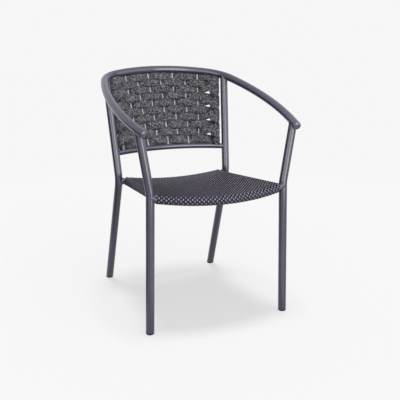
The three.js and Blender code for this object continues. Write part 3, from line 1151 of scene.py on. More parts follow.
def extruded_group() -> bpy.types.NodeTree:
    """Fine lines along an extruded strand, from its UV map of run and place across.

    Returns:
        The group.
    """
    streaks_a_metre, streak_scale, rough_swing, ridge_share = 90.0, 1.3, 0.12, 0.3
    streak_from, streak_to, dimmest, brightest = 0.2, 0.8, 0.82, 1.18
    bench = ShaderBench("extruded_strand")
    colour = bench.taken("Color", "Color")
    rough, line_pitch = bench.taken("Roughness"), bench.taken("Line Pitch")
    run, place_across = bench.uv_parts()
    across = bench.math("DIVIDE", place_across, line_pitch)
    ridge = bench.math("SINE", bench.times(across, 2 * math.pi))
    long_way = bench.combined(bench.times(run, streaks_a_metre), across)
    streak = bench.noise(streak_scale, detail=2.0, place=long_way)
    bright = bench.ranged(streak, streak_from, streak_to, dimmest, brightest)
    bench.given("Color", "Color", bench.scaled(colour, bright))
    bench.given("Roughness", "Float", bench.plus(rough, bench.times(streak, rough_swing)))
    bench.given("Height", "Float", bench.plus(bench.times(ridge, ridge_share), streak))
    return bench.tree


def braid_group() -> bpy.types.NodeTree:
    """Yarns of a flat braid in mixed greys, slanted up to both edges, from its UV map in metres. Painted
    shade darkens the grooves between yarns, the recesses where the strap dives behind an upright, and the
    strap's edges.

    Returns:
        The group.
    """
    yarn_length, yarn_stagger = 1.25, 0.5                   # in yarn sizes, and in yarn lengths
    pick_power, pick_share = 2.2, 1.15                      # how light whole yarns are
    flecks_a_metre, fleck_middle, fleck_share = 380.0, 0.46, 2.0
    # painted shade: the colour darkens where the yarns' height falls into the grooves between them
    groove_depth, painted_groove_shade, fleck_height = 0.7, 0.45, 0.5
    # painted shade: the colour darkens where the strap has dived behind an upright and towards its edges
    recess_from, edge_from, edge_to, painted_edge_shade = 0.7, 0.55, 0.98, 0.4
    bench = ShaderBench("melange_braid")
    dark, light = bench.taken("Dark", "Color"), bench.taken("Light", "Color")
    shade, yarn, slant = bench.taken("Recess Shade"), bench.taken("Yarn Size"), bench.taken("Slant")
    run, across = bench.uv_parts()
    outward = bench.math("ABSOLUTE", across)
    along = bench.plus(run, bench.times(outward, slant))
    columns = bench.math("DIVIDE", outward, yarn)
    column = bench.math("FLOOR", columns)
    stagger = bench.times(bench.math("MODULO", column, 2.0), yarn_stagger)
    rows = bench.plus(bench.math("DIVIDE", along, bench.times(yarn, yarn_length)), stagger)
    across_yarn = bench.math("SINE", bench.times(bench.math("FRACT", columns), math.pi))
    along_yarn = bench.math("SINE", bench.times(bench.math("FRACT", rows), math.pi))
    height = bench.math("POWER", bench.times(across_yarn, along_yarn), 0.5)
    side = bench.math("GREATER_THAN", across, 0.0)
    cell = bench.combined(column, bench.math("FLOOR", rows), side)
    pick = bench.add("ShaderNodeTexWhiteNoise", {"Vector": cell}, noise_dimensions="3D").outputs["Value"]
    fleck = bench.noise(flecks_a_metre, detail=3.0)
    whole = bench.times(bench.math("POWER", pick, pick_power), pick_share)
    mixed = bench.times(bench.math("SUBTRACT", fleck, fleck_middle), fleck_share)
    share = bench.ranged(bench.plus(whole, mixed), 0.0, 1.0, 0.0, 1.0)
    recess = bench.add("ShaderNodeAttribute", attribute_name="recess").outputs["Fac"]
    half = bench.add("ShaderNodeAttribute", attribute_name="half_width").outputs["Fac"]
    edge = bench.math("DIVIDE", outward, half)
    # painted shade, multiplied into the yarn colour: grooves between yarns, recesses behind uprights, strap
    # edges
    bright = bench.ranged(height, 0.0, groove_depth, painted_groove_shade, 1.0)
    bright = bench.times(bright, bench.ranged(recess, recess_from, 1.0, 1.0, shade))
    bright = bench.times(bright, bench.ranged(edge, edge_from, edge_to, 1.0, painted_edge_shade))
    bench.given("Color", "Color", bench.scaled(bench.blended(share, dark, light), bright))
    bench.given("Height", "Float", bench.plus(height, bench.times(fleck, fleck_height)))
    return bench.tree


def bare_material(name: str) -> tuple[bpy.types.Material, NodeBench]:
    """Starts a material.

    Args:
        name: Name of the material.

    Returns:
        The material, and a bench for its empty tree.
    """
    material = bpy.data.materials.new(name)
    material.use_nodes = True
    return material, NodeBench(material.node_tree)


def grouped_material(
    name: str, group: str, feeds: dict[str, Any], depth: float, own: dict[str, float]
) -> bpy.types.Material:
    """A material that takes its colour, its height and maybe its roughness from a shader group.

    Args:
        name: Name of the material.
        group: Name of the group.
        feeds: Values of the group's inputs.
        depth: How deep the group's height goes.
        own: Values of the shader's own inputs.

    Returns:
        The material.
    """
    material, bench = bare_material(name)
    shader = bench.add("ShaderNodeBsdfPrincipled", own)
    bench.add("ShaderNodeOutputMaterial", {"Surface": shader.outputs[0]})
    given = bench.add("ShaderNodeGroup", feeds, node_tree=bpy.data.node_groups[group]).outputs
    bump = bench.add("ShaderNodeBump", {"Height": given["Height"], "Distance": depth})
    bench.feed(shader.inputs["Base Color"], given["Color"])
    bench.feed(shader.inputs["Normal"], bump.outputs[0])
    if "Roughness" in given:
        bench.feed(shader.inputs["Roughness"], given["Roughness"])
    return material


@dataclass(frozen=True)
class CoatFinish:
    """Sprayed satin coat on metal or on moulded plastic."""

    name: str
    colour: Colour
    roughness: float
    grain_size: float = 0.0009
    grain_depth: float = 0.00004
    cloud_share: float = 0.08
    specular: float = 0.5

    def material(self) -> bpy.types.Material:
        """Builds the material.

        Returns:
            The material.
        """
        feeds = {
            "Color": self.colour, "Cloud Share": self.cloud_share,
            "Roughness": self.roughness, "Grain Size": self.grain_size,
        }
        own = {"Specular IOR Level": self.specular}
        return grouped_material(self.name, "sprayed_coat", feeds, self.grain_depth, own)


@dataclass(frozen=True)
class StrandFinish:
    """Extruded synthetic strand with fine lines along it."""

    name: str
    colour: Colour
    roughness: float
    specular: float
    line_pitch: float = 0.0007
    line_depth: float = 0.00005

    def material(self) -> bpy.types.Material:
        """Builds the material.

        Returns:
            The material.
        """
        feeds = {"Color": self.colour, "Line Pitch": self.line_pitch, "Roughness": self.roughness}
        own = {"Specular IOR Level": self.specular}
        return grouped_material(self.name, "extruded_strand", feeds, self.line_depth, own)


@dataclass(frozen=True)
class BraidFinish:
    """Flat braided strap of mixed grey yarns, with painted shade in its recesses, grooves and edges."""

    name: str
    dark: Colour
    light: Colour
    yarn_size: float = 0.003
    slant: float = 0.75
    # how dark the painted shade gets where the strap has dived behind an upright
    recess_shade: float = 0.28
    yarn_depth: float = 0.0009
    roughness: float = 0.9
    specular: float = 0.2
    fuzz: float = 0.25

    def material(self) -> bpy.types.Material:
        """Builds the material.

        Returns:
            The material.
        """
        feeds = {
            "Dark": self.dark, "Light": self.light, "Recess Shade": self.recess_shade,
            "Yarn Size": self.yarn_size, "Slant": self.slant,
        }
        own = {"Roughness": self.roughness, "Specular IOR Level": self.specular, "Sheen Weight": self.fuzz}
        return grouped_material(self.name, "melange_braid", feeds, self.yarn_depth, own)


@dataclass
class Finishes:
    """Every material of the chair."""

    frame: bpy.types.Material
    rod: bpy.types.Material
    cap: bpy.types.Material
    glide: bpy.types.Material
    light_strand: bpy.types.Material
    dark_strand: bpy.types.Material
    strap: bpy.types.Material


def all_finishes() -> Finishes:
    """Builds the groups and the materials.

    Returns:
        The materials.
    """
    coat_group()
    extruded_group()
    braid_group()
    anthracite = tone(64, 65, 88)
    recipes = {
        "frame": CoatFinish("anthracite_coat", anthracite, roughness=0.17, specular=0.7),
        # painted highlight: the rods' coat is far paler than the frame's, standing in for the light the thin
        # rods catch between the strap's rows
        "rod": CoatFinish("anthracite_rod_coat", tone(206, 206, 214), roughness=0.25),
        "cap": CoatFinish("anthracite_cap", anthracite, roughness=0.12, grain_depth=0.00001, specular=0.7),
        "glide": CoatFinish("black_glide", tone(18, 18, 21), roughness=0.6, cloud_share=0.2, specular=0.1),
        "light_strand": StrandFinish("light_grey_strand", tone(117, 109, 132), roughness=0.3, specular=0.6),
        "dark_strand": StrandFinish("black_violet_strand", tone(13, 9, 23), roughness=0.4, specular=0.15),
        "strap": BraidFinish("grey_melange_strap", tone(22, 20, 26), tone(159, 156, 166)),
    }
    return Finishes(**{part: recipe.material() for part, recipe in recipes.items()})


# Frame


@dataclass
class WeldBeads:
    """Beads on the seams where tubes meet, with a radius for each kind of seam."""

    finish: bpy.types.Material
    tree: bpy.types.NodeTree
    leg_radius: float = 0.0017
    ring_radius: float = 0.0014
    bar_radius: float = 0.0013
    rod_radius: float = 0.0008
    ripple_share: float = 0.13
    ripple_pitch: float = 0.0035
    sides: int = 8

    def lay(self, name: str, seams: list[np.ndarray], radius: float) -> Any:
        """Lays beads on closed seams.

        Args:
            name: Name of the piece.
            seams: Points round each seam.
            radius: Radius of the bead.

        Returns:
            The piece.
        """
        host = polyline_mesh(name, seams, cyclic=True)
        values = {
            "Radius": radius, "Ripple Share": self.ripple_share, "Ripple Pitch": self.ripple_pitch,
            "Sides": self.sides, "Material": self.finish,
        }
        return dress(grown(name, host, self.tree, values), self.finish)


@dataclass
class TopRail:
    """The bent rail with its arms and its two end caps."""

    lines: ChairLines
    finishes: Finishes
    step: float = 0.006
    cap_dome: float = 0.0056
    cap_rim: float = 0.0012
    cap_stem: float = 0.016
    cap_stem_taper: float = 0.9
    cap_edge: float = 0.0006
    cap_sides: int = 48
    dome_steps: int = 10

    def build(self) -> None:
        """Makes the rail and both caps."""
        lines = self.lines
        rail = RoundTube("coated_top_rail", lines.rail_axis(self.step), lines.frame_tube, lines.frame_wall)
        dress(rail.build(), self.finishes.frame, ("top_rail",))
        for side in Side:
            ends = side.of(lines.rail_axis(self.step)[-2:])
            cap = self.cap(f"domed_end_cap_{side.word}", ends[1], unit(ends[1] - ends[0]))
            dress(cap, self.finishes.cap, (f"arm_end_cap_{side.word}",))

    def profile(self) -> list[tuple[float, float]]:
        """The cap's outline from the stem's end to the dome's top.

        Returns:
            Radius and height of each corner.
        """
        radius, taper = self.lines.frame_tube / 2, self.cap_stem_taper
        stem = radius - self.lines.frame_wall - self.lines.weld_gap
        low = self.lines.weld_gap
        outline = [(stem * taper, -self.cap_stem), (stem, -self.cap_stem * taper), (stem, low)]
        outline += [(radius - self.cap_edge, low), (radius, low + self.cap_edge)]
        for i in range(self.dome_steps):
            turn = math.pi / 2 * i / self.dome_steps
            outline.append((radius * math.cos(turn), low + self.cap_rim + self.cap_dome * math.sin(turn)))
        return outline

    def cap(self, name: str, end: np.ndarray, outward: np.ndarray) -> Any:
        """Turns a cap on the rail's end.

        Args:
            name: Name of the piece.
            end: Centre of the rail's end.
            outward: Unit direction out of the tube.

        Returns:
            The cap.
        """
        first = unit(np.cross(outward, UP))
        level = spokes(self.cap_sides, first, np.cross(outward, first))
        rings = [end + outward * height + level * radius for radius, height in self.profile()]
        return piece_from(name, *skin(rings, closed=False), sharp_degrees=TURNED_SHARP_DEGREES)


@dataclass
class Legs:
    """Four legs, coped onto the rail, with their glides."""

    lines: ChairLines
    finishes: Finishes
    glide_height: float = 0.006
    glide_edge: float = 0.0056
    glide_stem: float = 0.018
    edge_steps: int = 6
    glide_sides: int = 40
    cut_reach: float = 2.0      # where the last ring above the level cut lies, in tube diameters
    seams: list[np.ndarray] = field(default_factory=list)

    def build(self) -> None:
        """Makes legs and glides on both sides."""
        lines = self.lines
        rail = lines.rail_axis(RAIL_STEP)
        pairs = (("front", lines.front_leg), ("rear", lines.rear_leg))
        for end, left_axis in pairs:
            for side in Side:
                axis = side.of(left_axis)
                leg = RoundTube(f"coated_{end}_leg_{side.word}", axis, lines.frame_tube, lines.frame_wall)
                leg.ends_on(rail, lines.frame_tube, at_start=False)
                leg.axis[0] = at_height(leg.axis, self.cut_reach * lines.frame_tube)
                leg.start_cut = level_cut(self.glide_height + lines.weld_gap)
                dress(leg.build(), self.finishes.frame, (f"{end}_leg_{side.word}",))
                self.seams.append(leg.seams[1])
                glide = self.glide(f"moulded_glide_{end}_{side.word}", axis)
                dress(glide, self.finishes.glide, (f"foot_glide_{end}_{side.word}",))

    def glide(self, name: str, axis: np.ndarray) -> Any:
        """Moulds a glide that fills the leg's slanted outline from the floor up.

        Args:
            name: Name of the piece.
            axis: The leg's axis from the floor up.

        Returns:
            The glide.
        """
        tube = self.lines.frame_tube / 2
        stem = tube - self.lines.frame_wall - self.lines.weld_gap
        slope = unit(axis[1] - axis[0])
        lean = unit(slope * np.array([1.0, 1.0, 0.0]))
        outline = [(0.0, tube - self.glide_edge)]
        for i in range(1, self.edge_steps + 1):
            turn = math.pi / 2 * i / self.edge_steps
            height = self.glide_edge * (1 - math.cos(turn))
            outline.append((height, tube - self.glide_edge * (1 - math.sin(turn))))
        outline += [(self.glide_height, tube), (self.glide_height, stem)]
        outline.append((self.glide_height + self.glide_stem, stem))
        level = spokes(self.glide_sides, ACROSS, AWAY)
        level = level + np.outer(level @ lean * (1 / slope[2] - 1), lean)
        rings = [axis[0] + slope * (z / slope[2]) + level * radius for z, radius in outline]
        return piece_from(name, *skin(rings, closed=False), sharp_degrees=TURNED_SHARP_DEGREES)


@dataclass
class SeatRing:
    """The ring of four tubes that the seat is woven round."""

    lines: ChairLines
    finishes: Finishes
    bow_steps: int = 60
    cross_seams: list[np.ndarray] = field(default_factory=list)
    side_seams: list[np.ndarray] = field(default_factory=list)

    def build(self) -> None:
        """Makes the two cross tubes and the two side tubes."""
        lines = self.lines
        crossings = (
            ("front", lines.front_bar, lines.front_leg),
            ("rear", lines.rear_bar, lines.rear_leg),
        )
        for end, bar, leg in crossings:
            axis = bar.axis(self.bow_steps)
            tube = RoundTube(f"coated_seat_{end}_tube", axis, lines.seat_tube, lines.seat_wall)
            tube.spans(mirrored(leg), leg, lines.frame_tube)
            dress(tube.build(), self.finishes.frame, (f"seat_{end}_tube",))
            self.cross_seams += tube.seams
        cross_axes = [bar.axis(self.bow_steps) for bar in (lines.front_bar, lines.rear_bar)]
        for side in Side:
            axis = side.of(lines.side_tube)
            tube = RoundTube(f"coated_seat_side_tube_{side.word}", axis, lines.seat_tube, lines.seat_wall)
            tube.spans(*cross_axes, lines.seat_tube)
            dress(tube.build(), self.finishes.frame, (f"seat_side_tube_{side.word}",))
            self.side_seams += tube.seams


# Back


@dataclass
class BackFrame:
    """The crossbar, the two edge posts and the rods between them."""

    lines: ChairLines
    finishes: Finishes
    rods: int = 7
    rod_pitch_top: float = 0.047
    rod_pitch_bottom: float = 0.038
    post_gap_top: float = 0.067
    post_gap_bottom: float = 0.061
    post_sides: int = 32
    rod_sides: int = 16
    bow_steps: int = 60
    bar_seams: list[np.ndarray] = field(default_factory=list)
    post_seams: list[np.ndarray] = field(default_factory=list)
    rod_seams: list[np.ndarray] = field(default_factory=list)

    @property
    def last_rod(self) -> float:
        """The outermost rod's count from the middle one."""
        return (self.rods - 1) / 2

    @property
    def post_place(self) -> float:
        """The edge post's count from the middle rod."""
        return self.last_rod + 1

    def upright(self, place: float) -> tuple[np.ndarray, np.ndarray]:
        """The panel's line at a place across, which need not be an upright's.

        Args:
            place: Count from the middle rod, towards the sitter's left where positive.

        Returns:
            Its top on the rail's axis and its foot on the crossbar's.
        """
        rods = min(abs(place), self.last_rod)
        beyond = abs(place) - rods
        run = rods * self.rod_pitch_top + beyond * self.post_gap_top
        x = rods * self.rod_pitch_bottom + beyond * self.post_gap_bottom
        return (
            self.lines.rail_point(math.copysign(run, place)),
            self.lines.crossbar.point(math.copysign(x, place)),
        )

    def build(self) -> None:
        """Makes the crossbar, the posts and the rods."""
        lines = self.lines
        leg = lines.rear_leg
        bar_axis = lines.crossbar.axis(self.bow_steps)
        bar = RoundTube("coated_back_crossbar", bar_axis, lines.crossbar_tube, lines.crossbar_wall)
        bar.spans(mirrored(leg), leg, lines.frame_tube)
        dress(bar.build(), self.finishes.frame, ("back_crossbar",))
        self.bar_seams += bar.seams
        for side in Side:
            node, place = f"back_post_{side.word}", side.value * self.post_place
            self.post_seams += self.stand(node, place, lines.post_tube, lines.post_wall, self.post_sides)
        for i in range(self.rods):
            node, place = f"back_rod_{i + 1}", i - self.last_rod
            self.rod_seams += self.stand(node, place, lines.rod, 0.0, self.rod_sides)

    def stand(self, node: str, place: float, diameter: float, wall: float, sides: int) -> list[np.ndarray]:
        """Stands one upright between the crossbar and the rail.

        Args:
            node: Name of the node that it replaces.
            place: Its count from the middle rod.
            diameter: Outside diameter.
            wall: Wall, zero for a solid rod.
            sides: Faces round it.

        Returns:
            Its two seams.
        """
        lines = self.lines
        top, foot = self.upright(place)
        tube = RoundTube(f"coated_{node}", np.array([foot, top]), diameter, wall, sides)
        tube.ends_on(lines.rail_axis(RAIL_STEP), lines.frame_tube, at_start=False)
        tube.ends_on(lines.crossbar.axis(self.bow_steps), lines.crossbar_tube, at_start=True)
        # solid rods take the pale coat whose paleness is painted highlight
        finish = self.finishes.frame if wall else self.finishes.rod
        dress(tube.build(), finish, (node,))
        return tube.seams


@dataclass(frozen=True)
class PanelStation:
    """One line of the back panel from the rail down to the crossbar, and the room between them."""

    top: np.ndarray
    rise: np.ndarray
    rail_run: np.ndarray
    bar_run: np.ndarray
    start: float
    length: float
    space: float

    def depth(self, row: float, rows: int, crowd_share: float) -> float:
        """How far down the line a row count comes: the rows lie closer together towards the rail."""
        share = row / rows
        return self.start + self.space * (share - crowd_share * share * (1 - share))

    def front(self, down: float) -> np.ndarray:
        """The panel's direction towards the sitter.

        Args:
            down: Depth below the rail's axis.

        Returns:
            The unit direction.
        """
        share = down / self.length
        run = self.rail_run * (1 - share) + self.bar_run * share
        return unit(np.cross(run, self.rise))


@dataclass
class LacedStrap:
    """One length of flat braided strap, laced in rows over and under the rods from the rail down."""

    back: BackFrame
    finish: bpy.types.Material
    tree: bpy.types.NodeTree
    rows: int = 10
    thickness: float = 0.0066
    row_gap: float = -0.001
    crowd_share: float = 0.12
    clearance: float = 0.0003
    puff_share: float = 0.2
    post_puff_share: float = 0.72
    waist_share: float = 0.1
    dive_power: float = 2.8
    crown_power: float = 0.7
    spread_until: float = 0.36
    spread_fade: float = 0.06
    drawn_rise: float = 0.33
    drawn_until: float = 0.74
    drawn_fade: float = 0.4
    pulls: tuple[float, ...] = (0.0, 0.0105, 0.0085)    # up, for each pair of rows
    sag: float = 0.001
    sag_growth: float = 3.0
    turn_width_share: float = 1.6
    tail: float = 0.01
    tail_fall: float = 0.2
    tail_fold: float = 0.45
    slack: float = 0.0004
    puff_drift: float = 0.04
    knot_pitch: float = 0.04
    steps_per_gap: int = 20
    turn_steps: int = 14
    sides: int = 20
    squareness: float = 0.5
    seed: int = 7

    def station(self, place: float) -> PanelStation:
        """The panel's line at a place across, with the rail's and the crossbar's run there.

        Args:
            place: Count from the middle rod.

        Returns:
            The line.
        """
        lines = self.back.lines
        nudge = 1 / 3
        top, foot = self.back.upright(place)
        before, after = self.back.upright(place - nudge), self.back.upright(place + nudge)
        length = float(np.linalg.norm(top - foot))
        rise = unit(top - foot)
        rail_run, bar_run = unit(after[0] - before[0]), unit(after[1] - before[1])
        start = (lines.frame_tube / 2 + lines.weld_gap) / np.linalg.norm(np.cross(rail_run, rise))
        foot_room = (lines.crossbar_tube / 2 + lines.weld_gap) / np.linalg.norm(np.cross(bar_run, rise))
        return PanelStation(top, rise, rail_run, bar_run, start, length, length - foot_room - start)

    def half_width(self, station: PanelStation, row: float) -> float:
        """Half the strap's width.

        Args:
            station: The line on which it is measured.
            row: Row count from the top.

        Returns:
            The half width.
        """
        low = station.depth(row, self.rows, self.crowd_share)
        high = station.depth(row + 1, self.rows, self.crowd_share)
        return (high - low - self.row_gap) / 2

    def lane(self, place: float) -> float:
        """How far before or behind an upright's axis the strap's middle passes it.

        Args:
            place: The upright's count from the middle rod.

        Returns:
            The distance.
        """
        lines = self.back.lines
        radius = lines.post_tube / 2 if abs(place) == self.back.post_place else lines.rod / 2
        return radius + self.clearance + self.thickness / 2

    def spot(self, station: PanelStation, row: float, offset: float, sideways: float = 0.0) -> np.ndarray:
        """A point at a row count on a station's line.

        Args:
            station: The line.
            row: Row count from the top, fractions between.
            offset: Distance before the panel.
            sideways: Distance towards the sitter's left.

        Returns:
            The point.
        """
        down = station.depth(row, self.rows, self.crowd_share)
        front = station.front(down)
        along = np.cross(station.rise, front)
        return station.top - station.rise * down + front * offset + along * sideways

    def row_stations(self, row: int) -> list[Station]:
        """The strap's stations in one row, in the order in which it is laced.

        Args:
            row: Row number from the top.

        Returns:
            Middle, width direction, half width and recess share of each station.
        """
        posts = self.back.post_place
        gaps = int(2 * posts)
        places = np.linspace(-posts, posts, gaps * self.steps_per_gap + 1)
        offsets, halves, lifts, dives = np.array([self.pass_shape(row, place) for place in places]).T
        offsets[1:-1] = (offsets[:-2] + 2 * offsets[1:-1] + offsets[2:]) / 4
        found = []
        for place, offset, half, lift, dive in zip(places, offsets, halves, lifts, dives):
            station = self.station(place)
            middle = self.spot(station, row + 1 / 2, offset) + station.rise * lift
            found.append((middle, station.rise, half, dive))
        return found[::-1] if row % 2 == 0 else found

    def pass_shape(self, row: int, place: float) -> tuple[float, float, float, float]:
        """The strap's offset, half width and lift where a row passes a place across.

        It stays before the panel for most of each gap and dives steeply behind the next upright. Before
        an edge post it spreads, and beside the post the turn below or above pulls it along.

        Args:
            row: Row number from the top.
            place: Count from the middle rod.

        Returns:
            Offset before the panel, half width, shift up the panel, and how far it has dived, 0 to 1.
        """
        posts = self.back.post_place
        gap = min(int(place + posts), int(2 * posts) - 1)
        share = place + posts - gap
        leaves_front = (gap + row) % 2 == 0
        ends = (gap - posts, gap + 1 - posts)
        front_end, back_end = ends if leaves_front else ends[::-1]
        away = share if leaves_front else 1 - share
        dive = away**self.dive_power
        offset = self.lane(front_end) * (1 - dive) - self.lane(back_end) * dive
        flat = self.half_width(self.station(place), row)
        crown = max(0.0, math.cos(math.pi * away)) ** self.crown_power
        if abs(front_end) == posts:
            spread = min(max((self.spread_until - away) / self.spread_fade, 0.0), 1.0) * self.post_puff_share
            drawn = min(max((self.drawn_until - away) / self.drawn_fade, 0.0), 1.0, away / self.drawn_rise)
            pull = self.pulls[min(row // 2, len(self.pulls) - 1)] if front_end > 0 else 0.0
            waist = self.waist_share * drawn if pull else 0.0
            half = flat * (1 + spread - waist)
            return offset, half, pull * drawn - (half - flat if row == 0 else 0.0), dive
        half = flat * (1 + self.puff_share * (1 - dive if abs(back_end) == posts else crown))
        edge = half - flat
        lifts = {0: -edge, self.rows - 1: edge - self.sag * (1 + self.sag_growth * dive)}
        return offset, half, lifts.get(row, 0.0), dive

    def turn_stations(
        self, side: int, row: int, from_front: bool, fall: float, spread: float
    ) -> list[Station]:
        """The strap's way round an edge post from one row to the next.

        Args:
            side: Sign of the post along X.
            row: Row that it leaves.
            from_front: True where it leaves from before the post.
            fall: Rows that it comes down by.
            spread: Share by which it is wider before the post.

        Returns:
            Middle, width direction, half width and recess share of each station.
        """
        station, reach = self.station(side * self.back.post_place), self.lane(self.back.post_place)
        flat = self.half_width(station, row)
        found = []
        for i in range(1, self.turn_steps):
            turn = math.pi * i / self.turn_steps
            ahead = math.cos(turn) if from_front else -math.cos(turn)
            before = max(0.0, ahead)
            count = row + 1 / 2 + fall * (1 - math.cos(turn)) / 2
            middle = self.spot(station, count, ahead * reach, side * math.sin(turn) * reach)
            half = flat * (1 + (self.turn_width_share - 1) * fall * math.sin(turn) + spread * before)
            if row == 0:
                middle = middle - station.rise * before * (half - flat)
            found.append((middle, station.rise, half, (1 - ahead) / 2))
        return found

    def path(self) -> list[Station]:
        """The whole way of the strap, which ends folded narrow round a post's foot.

        Returns:
            Its stations from the first end to the last.
        """
        spread = self.post_puff_share
        stations = self.turn_stations(1, 0, False, 0, spread)
        for row in range(self.rows):
            stations += self.row_stations(row)
            if row + 1 < self.rows:
                side = -1 if row % 2 == 0 else 1
                stations += self.turn_stations(side, row, row % 2 == 0, 1, spread)
        stations += self.turn_stations(1, self.rows - 1, False, self.tail_fall, -self.tail_fold)
        station, (_, rise, half, dive) = self.station(self.back.post_place), stations[-1]
        reach = self.lane(self.back.post_place)
        tail = self.spot(station, self.rows - 1 / 2 + self.tail_fall, reach, -self.tail)
        return stations + [(tail, rise, half, dive)]

    def build(self) -> None:
        """Lays the strap and dresses it."""
        middles, widths, halves, recess = (np.array(column) for column in zip(*self.path()))
        ahead = np.vstack([middles[1:], middles[-1:]])
        behind = np.vstack([middles[:1], middles[:-1]])
        faces = unit(np.cross(widths, ahead - behind))
        runs = np.concatenate([[0.0], np.cumsum(np.linalg.norm(np.diff(middles, axis=0), axis=1))])
        noise = np.random.default_rng(self.seed)
        knots = np.arange(0, runs[-1] + self.knot_pitch, self.knot_pitch)
        drift = np.interp(runs, knots, noise.normal(0, self.slack, len(knots)))
        puff = np.interp(runs, knots, noise.normal(1, self.puff_drift, len(knots)))
        host = polyline_mesh("strap_path", [middles + widths * drift[:, None]], cyclic=False)
        # recess carries how far the strap has gone behind an upright; the strap's finish darkens with it as
        # painted shade
        carried = {
            "width_way": widths, "face_way": faces, "half_width": halves,
            "half_depth": puff * self.thickness / 2, "run": runs, "recess": recess,
        }
        for key, column in carried.items():
            store(host, key, column)
        values = {"Sides": self.sides, "Squareness": self.squareness, "Material": self.finish}
        strap = grown("laced_back_strap", host, self.tree, values)
        dress(strap, self.finish, ("back_strap",))
        log.info("strap laid over %.2f m", runs[-1])


# Seat


